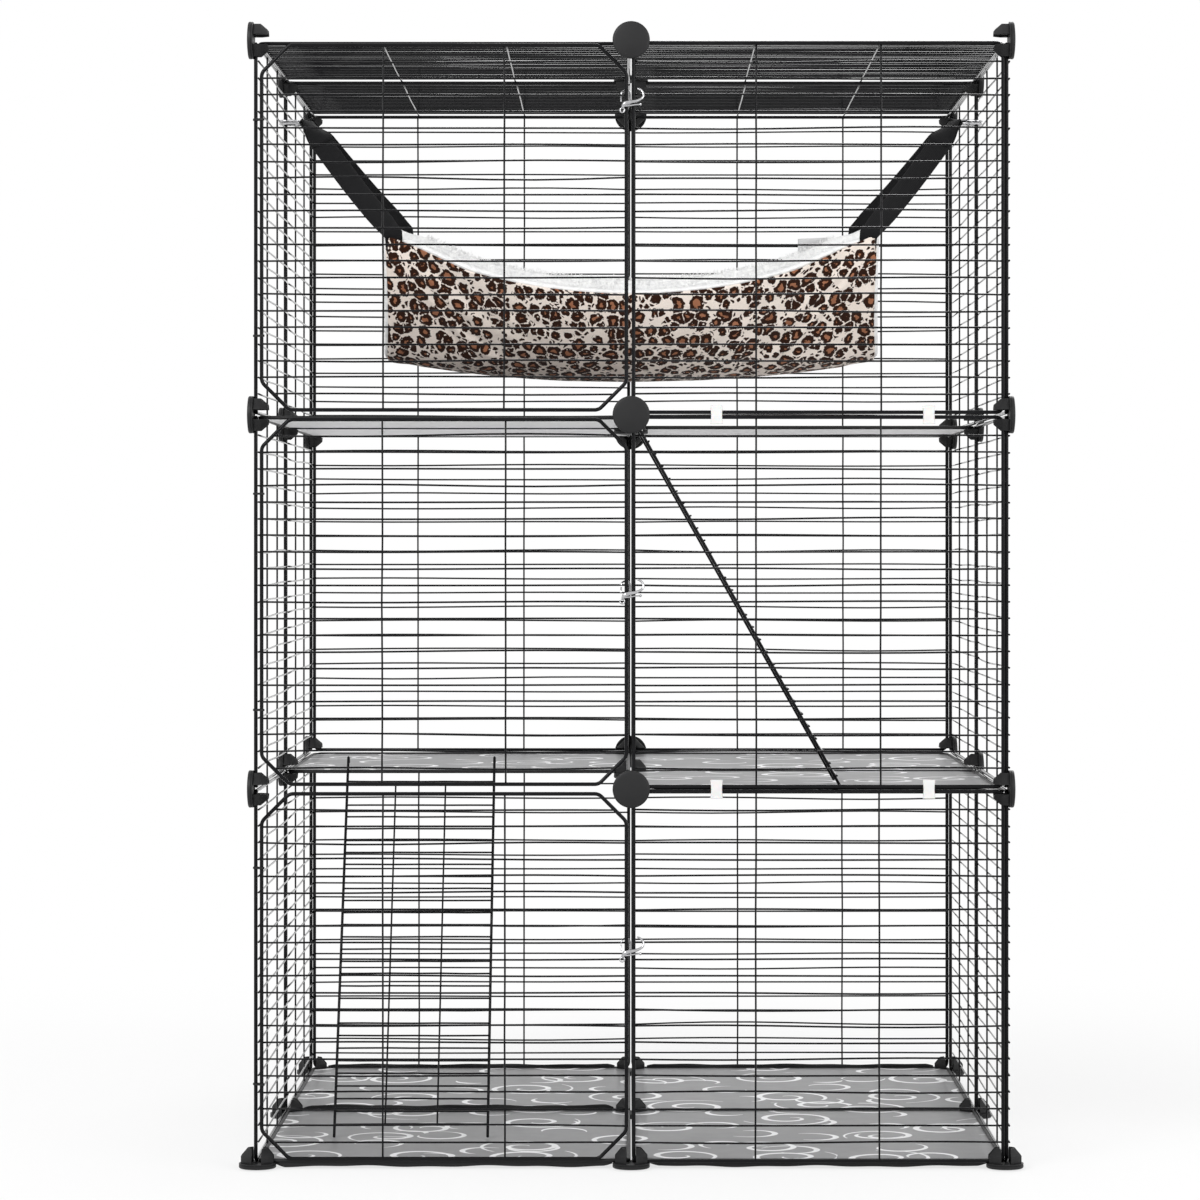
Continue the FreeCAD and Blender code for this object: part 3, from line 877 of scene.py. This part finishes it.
def make_trays(sheet_look, wire):
    """Printed sheets, each in a frame of bent wire."""
    for node in sorted(frame["nodes"]):
        if node.startswith(("floor_tray_", "lower_shelf_", "upper_shelf_")) and not node.endswith("frames"):
            low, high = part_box(node)
            name = f"{node}_sheet"
            thicken(piece(name, sheet_shape(name, low, high), sheet_look, "tray", node), SHEET_THICK)
            frames = "floor_tray_frames" if node.startswith("floor") else "shelf_tray_frames"
            width, depth = high.x - low.x + 2 * FRAME_WIRE, high.y - low.y + 2 * FRAME_WIRE
            path = frame_path(width, depth, 0.0, PANEL_CORNER, (low.z + high.z) / 2)
            corner = Vector((low.x - FRAME_WIRE, low.y - FRAME_WIRE, 0))
            shape = Shape().tube([spot + corner for spot in path], FRAME_WIRE / 2, ROUND_SIDES, closed=True)
            piece(f"{node}_frame", shape, wire, "wire", frames)


def make_shade_strips(look):
    """Dark strips at the trays' edges: below the floor's front they hang in waves, partly the tray's own dark
    sheet edge and partly painted shade; at the edges behind and at the shelf's front they stand up as painted
    shade in the gaps.
    """
    edges = [("lower_shelf_front_right", "front", SHELF_SHADE_RISE)]
    for place, seam in SEAM_SHADE_RISE.items():
        edges.append((f"floor_tray_front_{place}", "front", -FILM_AND_SHADE_HANG))
        edges.append((f"floor_tray_front_{place}", "seam", seam))
        edges.append((f"floor_tray_rear_{place}", "rear", REAR_SHADE_RISE))
    for node, edge, reach in edges:
        low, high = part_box(node)
        y = low.y - FRAME_WIRE / 2 if edge == "front" else high.y + FRAME_WIRE / 2
        z = low.z if reach < 0 else high.z + FRAME_WIRE / 4
        name = f"{node}_{edge}_film"
        phase = phases(name, 3)
        start, end = low.x + SHEET_CUT, high.x - SHEET_CUT

        def spot(along, over):
            wave = 0.6 * sin(15 * along + phase[0]) + 0.4 * sin(37 * along + phase[1])
            depth = reach * (1 + FILM_AND_SHADE_UNEVEN * wave) * min(1.0, 24 * min(along, 1 - along) + 0.5)
            swing = FILM_AND_SHADE_SWING * sin(14 * along + phase[2]) * over ** 2
            return Vector((start + (end - start) * along, y + swing, z + depth * over))

        # Each strip is a dark sheet that paints shade into a gap, or under the floor's front edge, where it
        # is also the sheet's own edge.
        thicken(piece(name, Shape().grid(sampled(spot, 4, 80)), look, "connector"), FILM_AND_SHADE_THICK)


def ramp_shape(name, drop, width):
    """Two hooked rails, rungs laid across them and ribs under the rungs, with the bar at the origin."""
    slope = asin(drop / RAMP_LENGTH)
    down = Vector((cos(slope), -sin(slope), 0))
    out = Vector((sin(slope), cos(slope), 0))
    lean = out * RAMP_ABOVE_BAR
    top = lean - down * ((HOOK_RISE - RAIL_WIRE - lean.y) / sin(slope))
    tip = Vector((top.x - HOOK_BACK, HOOK_TIP_RISE, 0))
    foot = lean + down * ((drop + lean.y - RAIL_WIRE * 0.6) / sin(slope))
    chance = random.Random(name)
    shape = Shape()
    for offset in (RAIL_WIRE / 2, width - RAIL_WIRE / 2):
        path = rounded([foot, top, tip], HOOK_CORNER, closed=False)
        shape.tube([spot + Z * offset for spot in path], RAIL_WIRE / 2, ROUND_SIDES)
    on_rails = lean + out * (RAIL_WIRE / 2 + MESH_DEPTH)
    for index in range(RUNG_COUNT):
        spot = on_rails + down * (RUNG_START + MESH_DEPTH + index * RUNG_PITCH)
        path = []
        for share in shares(6):
            bow = chance.gauss(0, WIRE_BOW / 4)
            path.append(spot + down * bow + Z * (width * (RUNG_INSET + (1 - 2 * RUNG_INSET) * share)))
        shape.tube(path, MESH_WIRE / 2, MESH_SIDES)
    length = (RUNG_COUNT - 1) * RUNG_PITCH + 2 * MESH_DEPTH
    for index in range(RIB_COUNT):
        line = on_rails - out * (2 * MESH_DEPTH) + Z * (width * (index + 1) / (RIB_COUNT + 1))
        path = [line + down * (RUNG_START + share * length) for share in shares(2)]
        shape.tube(path, MESH_WIRE / 2, MESH_SIDES)
    return shape


def make_ramps(look):
    """Ramps that hook over the edge wire of a shelf and stand on the tray below."""
    for node, across, width_axis in (("lower_ramp", -Y, 0), ("upper_ramp", X, 1)):
        low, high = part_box(node)
        pivot = PIVOTS[node].copy()
        pivot[width_axis] = high[width_axis]
        shape = ramp_shape(f"{node}_wires", pivot.z - low.z, high[width_axis] - low[width_axis])
        piece(f"{node}_wires", shape, look, "wire", node, body=node, place=basis(pivot, across, Z))


def mesh_gap_near(height):
    """The middle of the gap between thin wires that is nearest to a height on a panel."""
    low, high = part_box("front_panel_lower")
    margin = (high.x - low.x - (MESH_COUNT - 1) * MESH_PITCH) / 2
    index = round((height - margin) / MESH_PITCH - 0.5)
    return margin + (index + 0.5) * MESH_PITCH


def make_hinge_clips(look):
    """Thin black bands, each round a door's wire and the wall's wire beside it."""
    bars = []
    for node in ("lower_door", "left_panel_front_lower"):
        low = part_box(node)[0]
        bars.append(Vector((low.x + FRAME_WIRE / 2, low.y + FRAME_WIRE / 2, 0)))
    along = (bars[0] - bars[1]).normalized()
    aside = Z.cross(along)
    radius = HINGE_BORE + HINGE_CLIP_WALL / 2
    loop = []
    for bar, first in zip(bars, (-pi / 2, pi / 2)):
        for share in shares(8):
            turn = first + pi * share
            loop.append(bar + (along * cos(turn) + aside * sin(turn)) * radius)
    across, half_widths = [Z] * len(loop), [HINGE_CLIP_HEIGHT / 2] * len(loop)
    shape = Shape()
    for tier in TIERS:
        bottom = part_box(f"front_panel_{tier}")[0].z
        for height in HINGE_HEIGHTS:
            path = [spot + Z * (bottom + mesh_gap_near(height)) for spot in loop]
            shape.ribbon(path, across, half_widths, HINGE_CLIP_WALL / 2, closed=True)
    shape.cloth.clear()
    made = piece("door_hinge_bands", shape, look, "connector", "door_hinge_clips")
    made.data.set_sharp_from_angle(angle=radians(50))


def make_panel_clips(look):
    """White clips that grip the edge wires of two panels, one above the other, with plates that flare."""
    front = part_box("front_panel_lower")[0].y
    side = front + FRAME_WIRE
    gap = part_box("front_panel_middle")[0].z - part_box("front_panel_lower")[1].z
    bars = gap / 2 + FRAME_WIRE + CLIP_CLEARANCE
    arm = bars + CLIP_WALL
    half = CLIP_HEIGHT / 2
    profile = [(front - CLIP_DEPTH, -half), (front, -half), (front, -arm), (side, -arm), (side, -bars),
               (front, -bars), (front, bars), (side + CLIP_CLEARANCE, bars),
               (side + CLIP_CLEARANCE, bars - CLIP_WALL), (side + CLIP_WALL, bars - CLIP_WALL),
               (side + CLIP_WALL, arm), (front, arm), (front, half), (front - CLIP_DEPTH, half)]
    outline = []
    for start, end in zip(profile, profile[1:] + profile[:1]):
        parts = 8 if abs(end[1] - start[1]) > half / 2 else 1
        outline += [Vector(start).lerp(Vector(end), step / parts) for step in range(parts)]
    count = len(outline)
    faces = [list(range(count)), [2 * count - 1 - step for step in range(count)]]
    for step in range(count):
        after = (step + 1) % count
        faces.append([after, step, count + step, count + after])
    shape = Shape()
    for tier in TIERS[:2]:
        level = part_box(f"front_panel_{tier}")[1].z + gap / 2
        for offset in CLIP_OFFSETS:
            verts = []
            for sign in (-1, 1):
                for y, z in outline:
                    width = CLIP_WIDTH / 2 * (1 - CLIP_FLARE / 2 + CLIP_FLARE * (z / half) ** 2)
                    verts.append((offset + sign * width, y, level + z))
            shape.add(verts, faces)
    made = piece("white_panel_clips", shape, look, "white_clip", "panel_clips")
    ease = made.modifiers.new("ease", "BEVEL")
    ease.width = CLIP_EASE
    ease.segments = 2
    ease.limit_method = "ANGLE"
    made.data.set_sharp_from_angle(angle=radians(40))


def thick_curve(shape, *points):
    """A smooth wire whose points are a place and a radius, in millimetres."""
    path = curve(points, 8)
    shape.tube([Vector(spot[:3]) / 1000 for spot in path], [spot[3] / 1000 for spot in path], ROUND_SIDES)


def clasp_shapes():
    """A clasp's arm, its claw round the door's wire, a lever with a knob and an eye; then its gate."""
    claw, gate = Shape(), Shape()
    thick_curve(claw, (-3.4, -3.9, -4.8, 1.4), (-1.6, -4.2, -1.6, 2.2), (2.4, -4.1, 0.0, 2.1),
                (8.0, -3.7, 1.0, 1.6), (12.0, -3.2, 2.4, 1.2), (14.9, -2.6, 4.4, 1.1),
                (16.0, -1.8, 7.2, 1.05), (14.9, -0.9, 10.4, 1.0), (12.6, -0.3, 12.3, 0.95),
                (10.4, 0.0, 13.2, 0.8))
    thick_curve(claw, (3.4, -3.2, 1.0, 0.9), (3.4, -0.6, 4.6, 0.9), (3.3, 2.0, 8.6, 0.9),
                (2.0, 3.9, 11.2, 0.9), (-0.8, 4.0, 11.6, 0.9), (-3.2, 2.8, 10.8, 0.85),
                (-4.4, 1.5, 9.8, 0.8), (-4.9, 0.9, 7.9, 0.7))
    thick_curve(claw, (-1.5, -4.6, -3.6, 0.8), (3.0, -4.9, -3.2, 0.75), (8.0, -4.6, -2.4, 0.7),
                (12.0, -4.2, -2.0, 0.7))
    thick_curve(claw, (11.8, -4.2, -2.1, 0.5), (12.5, -4.2, -2.0, 1.2), (13.4, -4.2, -1.9, 1.35),
                (14.3, -4.2, -1.8, 0.6))
    eye = Vector((-3.9, -3.7, -7.4)) / 1000
    loop = [eye + (X * cos(turn) + Z * sin(turn)) * EYE_RADIUS for turn in turns(24)]
    claw.tube(loop, EYE_WIRE / 2, closed=True)
    thick_curve(gate, (-4.9, -1.9, 0.9, 0.65), (-5.0, -1.1, 2.6, 0.75), (-5.0, -0.2, 4.4, 0.75),
                (-4.9, 0.5, 5.9, 0.65))
    return claw, gate


def make_clasps(look):
    """A spring clasp on each door."""
    claw, gate = clasp_shapes()
    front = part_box("lower_door")[0].y + FRAME_WIRE / 2
    for tier in TIERS:
        latch, hinged = f"{tier}_latch", f"{tier}_latch_gate"
        pivot = PIVOTS[hinged]
        place = Matrix.Translation((pivot.x + GATE_REACH * cos(LATCH_TILT), front,
                                    pivot.z + GATE_REACH * sin(LATCH_TILT)))
        piece(f"{latch}_wire", claw, look, "bright_metal", latch, body=f"{tier}_door", place=place)
        piece(f"{hinged}_wire", gate, look, "bright_metal", hinged, body=hinged, place=place)


def sling_spot(box, x, turn, depth):
    """A place on the hammock: an oval arc from the front edge, round the belly, to the rear edge."""
    spread = (x / box[1].x) ** 2
    belly = box[0].z + BELLY_RISE * spread
    edge = box[0].z + (FRONT_DEPTH + FRONT_RISE * spread if turn < 0 else REAR_DEPTH + REAR_RISE * spread)
    chord = HALF_CHORD + CHORD_BOW * (1 - spread)
    rise = edge - belly - depth
    return Vector((x, (chord - depth) * sin(turn) / sin(SLING_TURN),
                   belly + depth + rise * (1 - cos(turn)) / (1 - cos(SLING_TURN))))


def crease(u, v):
    """How far inward the straps pull the cloth, from the middle (0) to the ends and edges (1 or -1)."""
    reach, drop = 1 - abs(u), 1 - abs(v)
    line = reach - (FOLD_START + FOLD_SLANT * drop)
    shown = min(1.0, 5 * drop) * max(0.0, 1 - drop) ** 0.6
    fold = exp(-(line / FOLD_WIDTH) ** 2) - RIDGE_SHARE * exp(-((line + RIDGE_SHIFT) / RIDGE_WIDTH) ** 2)
    hem = exp(-((reach - HEM_PLACE) / HEM_WIDTH) ** 2) * (1 - 0.6 * drop)
    uneven = noise.noise(Vector((3.1 * u, 2.3 * v, 4.7)))
    return STRAP_PULL * shown * fold + END_PULL * hem + CLOTH_UNEVEN * uneven


def drape(start):
    """Lets cloth that is held at its four corners settle, and keeps each point near where it began."""
    rows, columns = len(start), len(start[0])
    cloth = linked("drape", Shape().grid(start).mesh("drape"))
    held = cloth.vertex_groups.new(name="held")
    for row in range(rows):
        for column in range(columns):
            if min(column, columns - 1 - column) < DRAPE_HELD and min(row, rows - 1 - row) < DRAPE_HELD:
                held.add([row * columns + column], 1.0, "REPLACE")
    fabric = cloth.modifiers.new("fabric", "CLOTH")
    for name, value in DRAPE_CLOTH.items():
        setattr(fabric.settings, name, value)
    fabric.settings.vertex_group_mass = "held"
    fabric.point_cache.frame_start = 1
    fabric.point_cache.frame_end = DRAPE_FRAMES
    scene = bpy.context.scene
    for step in range(1, DRAPE_FRAMES + 1):
        scene.frame_set(step)
    settled = cloth.evaluated_get(bpy.context.evaluated_depsgraph_get()).to_mesh()
    moved = []
    for row, line in enumerate(start):
        moved.append([])
        for column, spot in enumerate(line):
            shift = settled.vertices[row * columns + column].co - spot
            if shift.length > DRAPE_CAP:
                shift *= DRAPE_CAP / shift.length
            moved[row].append(spot + shift)
    bpy.data.objects.remove(cloth)
    scene.frame_set(1)
    return moved


def inward(rows, row, column):
    """The direction from a skin's outside to its inside."""
    last_row, last_column = len(rows) - 1, len(rows[0]) - 1
    along = rows[row][min(column + 1, last_column)] - rows[row][max(column - 1, 0)]
    over = rows[min(row + 1, last_row)][column] - rows[max(row - 1, 0)][column]
    return along.cross(over).normalized()


def lifted(rows, height, fluff=0.0):
    """A skin moved inward, with tufts."""
    moved = []
    for row, line in enumerate(rows):
        moved.append([])
        for column, spot in enumerate(line):
            tuft = noise.noise(spot * TUFT_SCALE) + FINE_TUFT_SHARE * noise.noise(spot * FINE_TUFT_SCALE)
            moved[row].append(spot + inward(rows, row, column) * (height + fluff * tuft))
    return moved


def lipped(rows):
    """A skin with one more row past each edge."""
    first = [a + (a - b).normalized() * LINING_LIP for a, b in zip(rows[0], rows[1])]
    last = [a + (a - b).normalized() * LINING_LIP for a, b in zip(rows[-1], rows[-2])]
    return [first] + rows + [last]


def lengths_from(line, middle):
    """How far the points of a line are from its middle one, measured along it and below 0 before it."""
    steps = [(after - before).length for before, after in zip(line, line[1:])]
    return [sum(steps[middle:index]) - sum(steps[index:middle]) for index in range(len(line))]


def print_shape(skin):
    """The printed outside, with each point's place on the flat cloth."""
    edge = SHELL_MARGIN_COLUMNS
    outside = [line[edge:len(line) - edge] for line in skin]
    middle = SLING_ROWS // 2
    across = lengths_from(outside[middle], len(outside[middle]) // 2)
    over = [lengths_from(column, middle) for column in zip(*outside)]
    places = [(along, column[row], 0) for row in range(len(outside)) for along, column in zip(across, over)]
    return Shape().grid(outside, places)


def lining_shape(under, over):
    """The padded inside: a skin over, one under, and a rim round both."""
    shape = Shape().grid([line[::-1] for line in under]).grid(over)
    rows, columns = len(over), len(over[0])
    upper = rows * columns
    for row in range(rows - 1):
        left, right = row * columns, row * columns + columns - 1
        shape.faces.append([upper + left, upper + left + columns, right + columns, right])
        shape.faces.append([left, left + columns, upper + right + columns, upper + right])
    for column in range(columns - 1):
        for row in (0, rows - 1):
            low = row * columns + columns - 1 - column
            high = upper + row * columns + column
            quad = [low, low - 1, high + 1, high]
            shape.faces.append(quad if row == 0 else quad[::-1])
    return shape


def pile_shape(wide, over, end):
    """Short tufts on the lining, most of them along its edges and none near its ends."""
    chance = random.Random("pile")
    rows, columns = len(wide), len(wide[0])
    front = list(range(PILE_EDGE_ROWS))
    rear = list(range(rows - PILE_EDGE_ROWS, rows))
    shape = Shape()
    for _ in range(PILE_COUNT):
        if chance.random() < PILE_EDGE_SHARE:
            row = chance.choice(front + rear)
        else:
            row = chance.randrange(rows)
        column = chance.randrange(columns)
        root = over[row][column] + Vector([chance.gauss(0, PILE_SPREAD) for _ in range(3)])
        if abs(root.x) > end:
            continue
        lean = inward(wide, row, column) * chance.uniform(*PILE_INWARD)
        for edge_rows, edge, inner in ((front, 0, 1), (rear, -1, -2)):
            if row in edge_rows:
                lean += (wide[edge][column] - wide[inner][column]).normalized()
        lean = (lean + Vector([chance.gauss(0, PILE_LEAN) for _ in range(3)])).normalized()
        side = lean.orthogonal().normalized() * PILE_WIDTH
        tip = root + lean * chance.uniform(*PILE_LENGTHS)
        shape.add([root - side, root + side, tip], [[0, 1, 2]])
    return shape


def tag_shape(root):
    """A small curled label that stands up from the rear edge."""
    width, height = TAG_SIZE

    def spot(along, over):
        curl = TAG_CURL * sin(2.4 * over + 1.6 * along)
        return root + Vector((width * (along - 0.5), curl, height * over - TAG_ROOT + TAG_TILT * along))

    return Shape().grid(sampled(spot, 6, 8))


def make_hammock(shell_look, lining_look, label_look):
    """Printed plush outside and fleece inside, both laid on one draped skin."""
    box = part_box("hammock_shell")
    half = box[1].x

    def spot(along, over):
        u, v = 2 * along - 1, 2 * over - 1
        return sling_spot(box, u * half, v * SLING_TURN, SKIN_DEPTH + max(crease(u, v), 0.0))

    skin = drape(sampled(spot, SLING_ROWS, SLING_COLUMNS))
    shell = piece("hammock_print", print_shape(skin), shell_look, "print_fabric", "hammock_shell")
    thicken(shell, SHELL_THICK, 1)
    soften(shell)

    wide = lipped(skin)
    under, over = lifted(wide, LINING_START), lifted(wide, LINING_START + LINING_THICK, LINING_FLUFF)
    lining = piece("hammock_fleece", lining_shape(under, over), lining_look, "fleece", "hammock_lining")
    soften(lining)
    pile = pile_shape(wide, over, half - PILE_CLEARANCE)
    piece("hammock_fleece_pile", pile, lining_look, "fleece", "hammock_lining")

    column = round(0.5 * (1 + TAG_PLACE / half) * SLING_COLUMNS)
    tag = piece("hammock_tag", tag_shape(skin[-1][column]), label_look, "fleece")
    thicken(tag, TAG_THICK)


def strap_shape(tuck, foot, end, beside):
    """Webbing from under the hammock's edge to the end of a link, round it and back on itself."""
    run = (foot - end).normalized()
    facing = beside.cross(run).normalized()
    if facing.y > 0:
        facing = -facing
    bar = beside if beside.x > 0 else -beside
    bend = HOOK_WIRE / 2 + STRAP_THICK / 2 + STRAP_PLAY
    knee = end + run * STRAP_FOLD
    over_edge = foot + (foot - tuck).normalized() * STRAP_RISE
    stations = [(tuck, X, TUCK_WIDTH), (foot, X, FOOT_WIDTH)]
    for share in shares(14):
        sag = STRAP_SAG * sin(pi * share)
        width = 1 - (1 - EDGE_WIDTH) * max(0.0, 1 - 6 * share)
        stations.append((over_edge.lerp(knee, share) - Z * sag, X, width))
    for share in shares(5)[1:]:
        spot = knee.lerp(end + run * STRAP_NECK, share) - facing * (bend * share ** 2)
        turned = share * share * (3 - 2 * share)
        stations.append((spot, X.lerp(bar, turned), 1 - (1 - STRAP_GATHER) * share ** 1.5))
    for share in shares(6):
        turn = pi * share
        spot = end - facing * (bend * cos(turn)) - run * (bend * sin(turn))
        stations.append((spot, bar, STRAP_GATHER))
    for share in shares(7)[1:]:
        opened = min(1.0, 1.25 * share)
        inset = bend * (1 - share) ** 2 + STRAP_THICK * 1.1 * min(1.0, 2 * share)
        spot = end + run * (STRAP_TAIL * share) + facing * inset
        width = STRAP_GATHER + (TAIL_WIDTH - STRAP_GATHER) * opened
        stations.append((spot, bar.lerp(X, opened ** 1.2), width))
    path, across, widths = zip(*stations)
    return Shape().ribbon(path, across, [STRAP_WIDTH / 2 * width for width in widths], STRAP_THICK / 2)


def make_hangers(strap_look, metal):
    """Webbing straps from the hammock's corners, folded round long wire links on the side walls."""
    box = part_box("hammock_shell")
    long, wide = HOOK_LENGTH - HOOK_WIRE, HOOK_HOLE + HOOK_WIRE
    links = Shape()
    for x_sign, place in ((-1, "left"), (1, "right")):
        for y_sign, depth in ((-1, "front"), (1, "rear")):
            node = f"hammock_strap_{depth}_{place}"
            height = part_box(node)[1].z + HOOK_GAP / 2 + HOOK_WIRE / 2
            toward = Vector((-x_sign * cos(HOOK_TURN), y_sign * sin(HOOK_TURN), 0))
            beside = Z.cross(toward)
            bars = Vector((x_sign * (wall_line() + FRAME_WIRE / 2), 0, height))
            corner = bars + toward * (HOOK_WIRE / 2 - HOOK_REACH)
            corners = [corner + toward * (a * long) + beside * (b * wide)
                       for a, b in ((0, -0.5), (1, -0.5), (1, 0.5), (0, 0.5))]
            links.tube(rounded(corners, wide * HOOK_ROUND, 8), HOOK_WIRE / 2, ROUND_SIDES, closed=True)
            sleeve = corner + toward * (SLEEVE_PLACE * long) + beside * (0.5 * wide)
            links.tube([sleeve - toward * SLEEVE_HALF, sleeve + toward * SLEEVE_HALF], SLEEVE_RADIUS, 6)
            foot_x = x_sign * (box[1].x - STRAP_INSET)
            foot = sling_spot(box, foot_x, y_sign * SLING_TURN, STRAP_DEPTH)
            tuck = sling_spot(box, foot_x, y_sign * (SLING_TURN - STRAP_TUCK), STRAP_DEPTH)
            strap = strap_shape(tuck, foot, corner + toward * long, beside)
            piece(f"{node}_webbing", strap, strap_look, "webbing", node)
    made = piece("hammock_links", links, metal, "bright_metal", "hammock_hooks")
    made.data.set_sharp_from_angle(angle=radians(45))


def make_world():
    """White background that gives a softer light than it shows."""
    world = bpy.data.worlds.new("studio")
    bpy.context.scene.world = world
    nodes = Nodes(world)
    background = nodes.tree.nodes["Background"]
    background.inputs["Color"].default_value = (1, 1, 1, 1)
    seen = nodes.rays("Is Camera Ray", "Is Glossy Ray", "Is Transmission Ray")
    nodes.join(nodes.between(seen, WORLD_LIGHT, 1.0), background.inputs["Strength"])


def make_floor():
    """Wide floor under the object."""
    corners = [(x * FLOOR_HALF, y * FLOOR_HALF, 0) for x, y in ((-1, -1), (1, -1), (1, 1), (-1, 1))]
    floor = linked("floor", Shape().add(corners, [[0, 1, 2, 3]]).mesh("floor"))
    floor.data.materials.append(floor_look())


def make_lamps():
    """Soft round lamps, all aimed at the middle of the cage."""
    for name, place, size, power in LAMPS:
        light = bpy.data.lights.new(name, "AREA")
        light.shape = "DISK"
        light.size = size
        light.energy = power
        lamp = linked(name, light)
        lamp.location = place
        lamp.rotation_euler = (LAMP_AIM - Vector(place)).to_track_quat("-Z", "Y").to_euler()


def make_camera():
    """Camera of the photograph."""
    scene = bpy.context.scene
    lens = bpy.data.cameras.new("camera")
    lens.sensor_width = SENSOR
    lens.lens = SENSOR * FOCAL_PIXELS / PHOTO_WIDTH
    lens.shift_x = (PHOTO_WIDTH / 2 - CENTRE_PIXEL) / PHOTO_WIDTH
    lens.shift_y = (HORIZON_PIXEL - PHOTO_WIDTH / 2) / PHOTO_WIDTH
    lens.clip_end = 100
    camera = linked("camera", lens)
    camera.location = CAMERA
    camera.rotation_euler = (pi / 2, 0, 0)
    scene.camera = camera
    scene.view_settings.view_transform = "Standard"


black_wire = wire_look()
black_plastic = connector_look()
bright_metal = steel_look()
make_world()
make_floor()
make_lamps()
make_camera()
make_panels(black_wire)
make_doors(black_wire)
make_connectors(black_plastic)
make_trays(tray_look(), black_plastic)
# Dark strips at the tray edges: painted shade, the one below the floor's front partly the sheet's own edge.
make_shade_strips(black_plastic)
make_ramps(black_wire)
make_hinge_clips(black_plastic)
make_panel_clips(clip_look())
make_clasps(bright_metal)
make_hammock(print_look(), fleece_look(), tag_look())
make_hangers(webbing_look(), bright_metal)
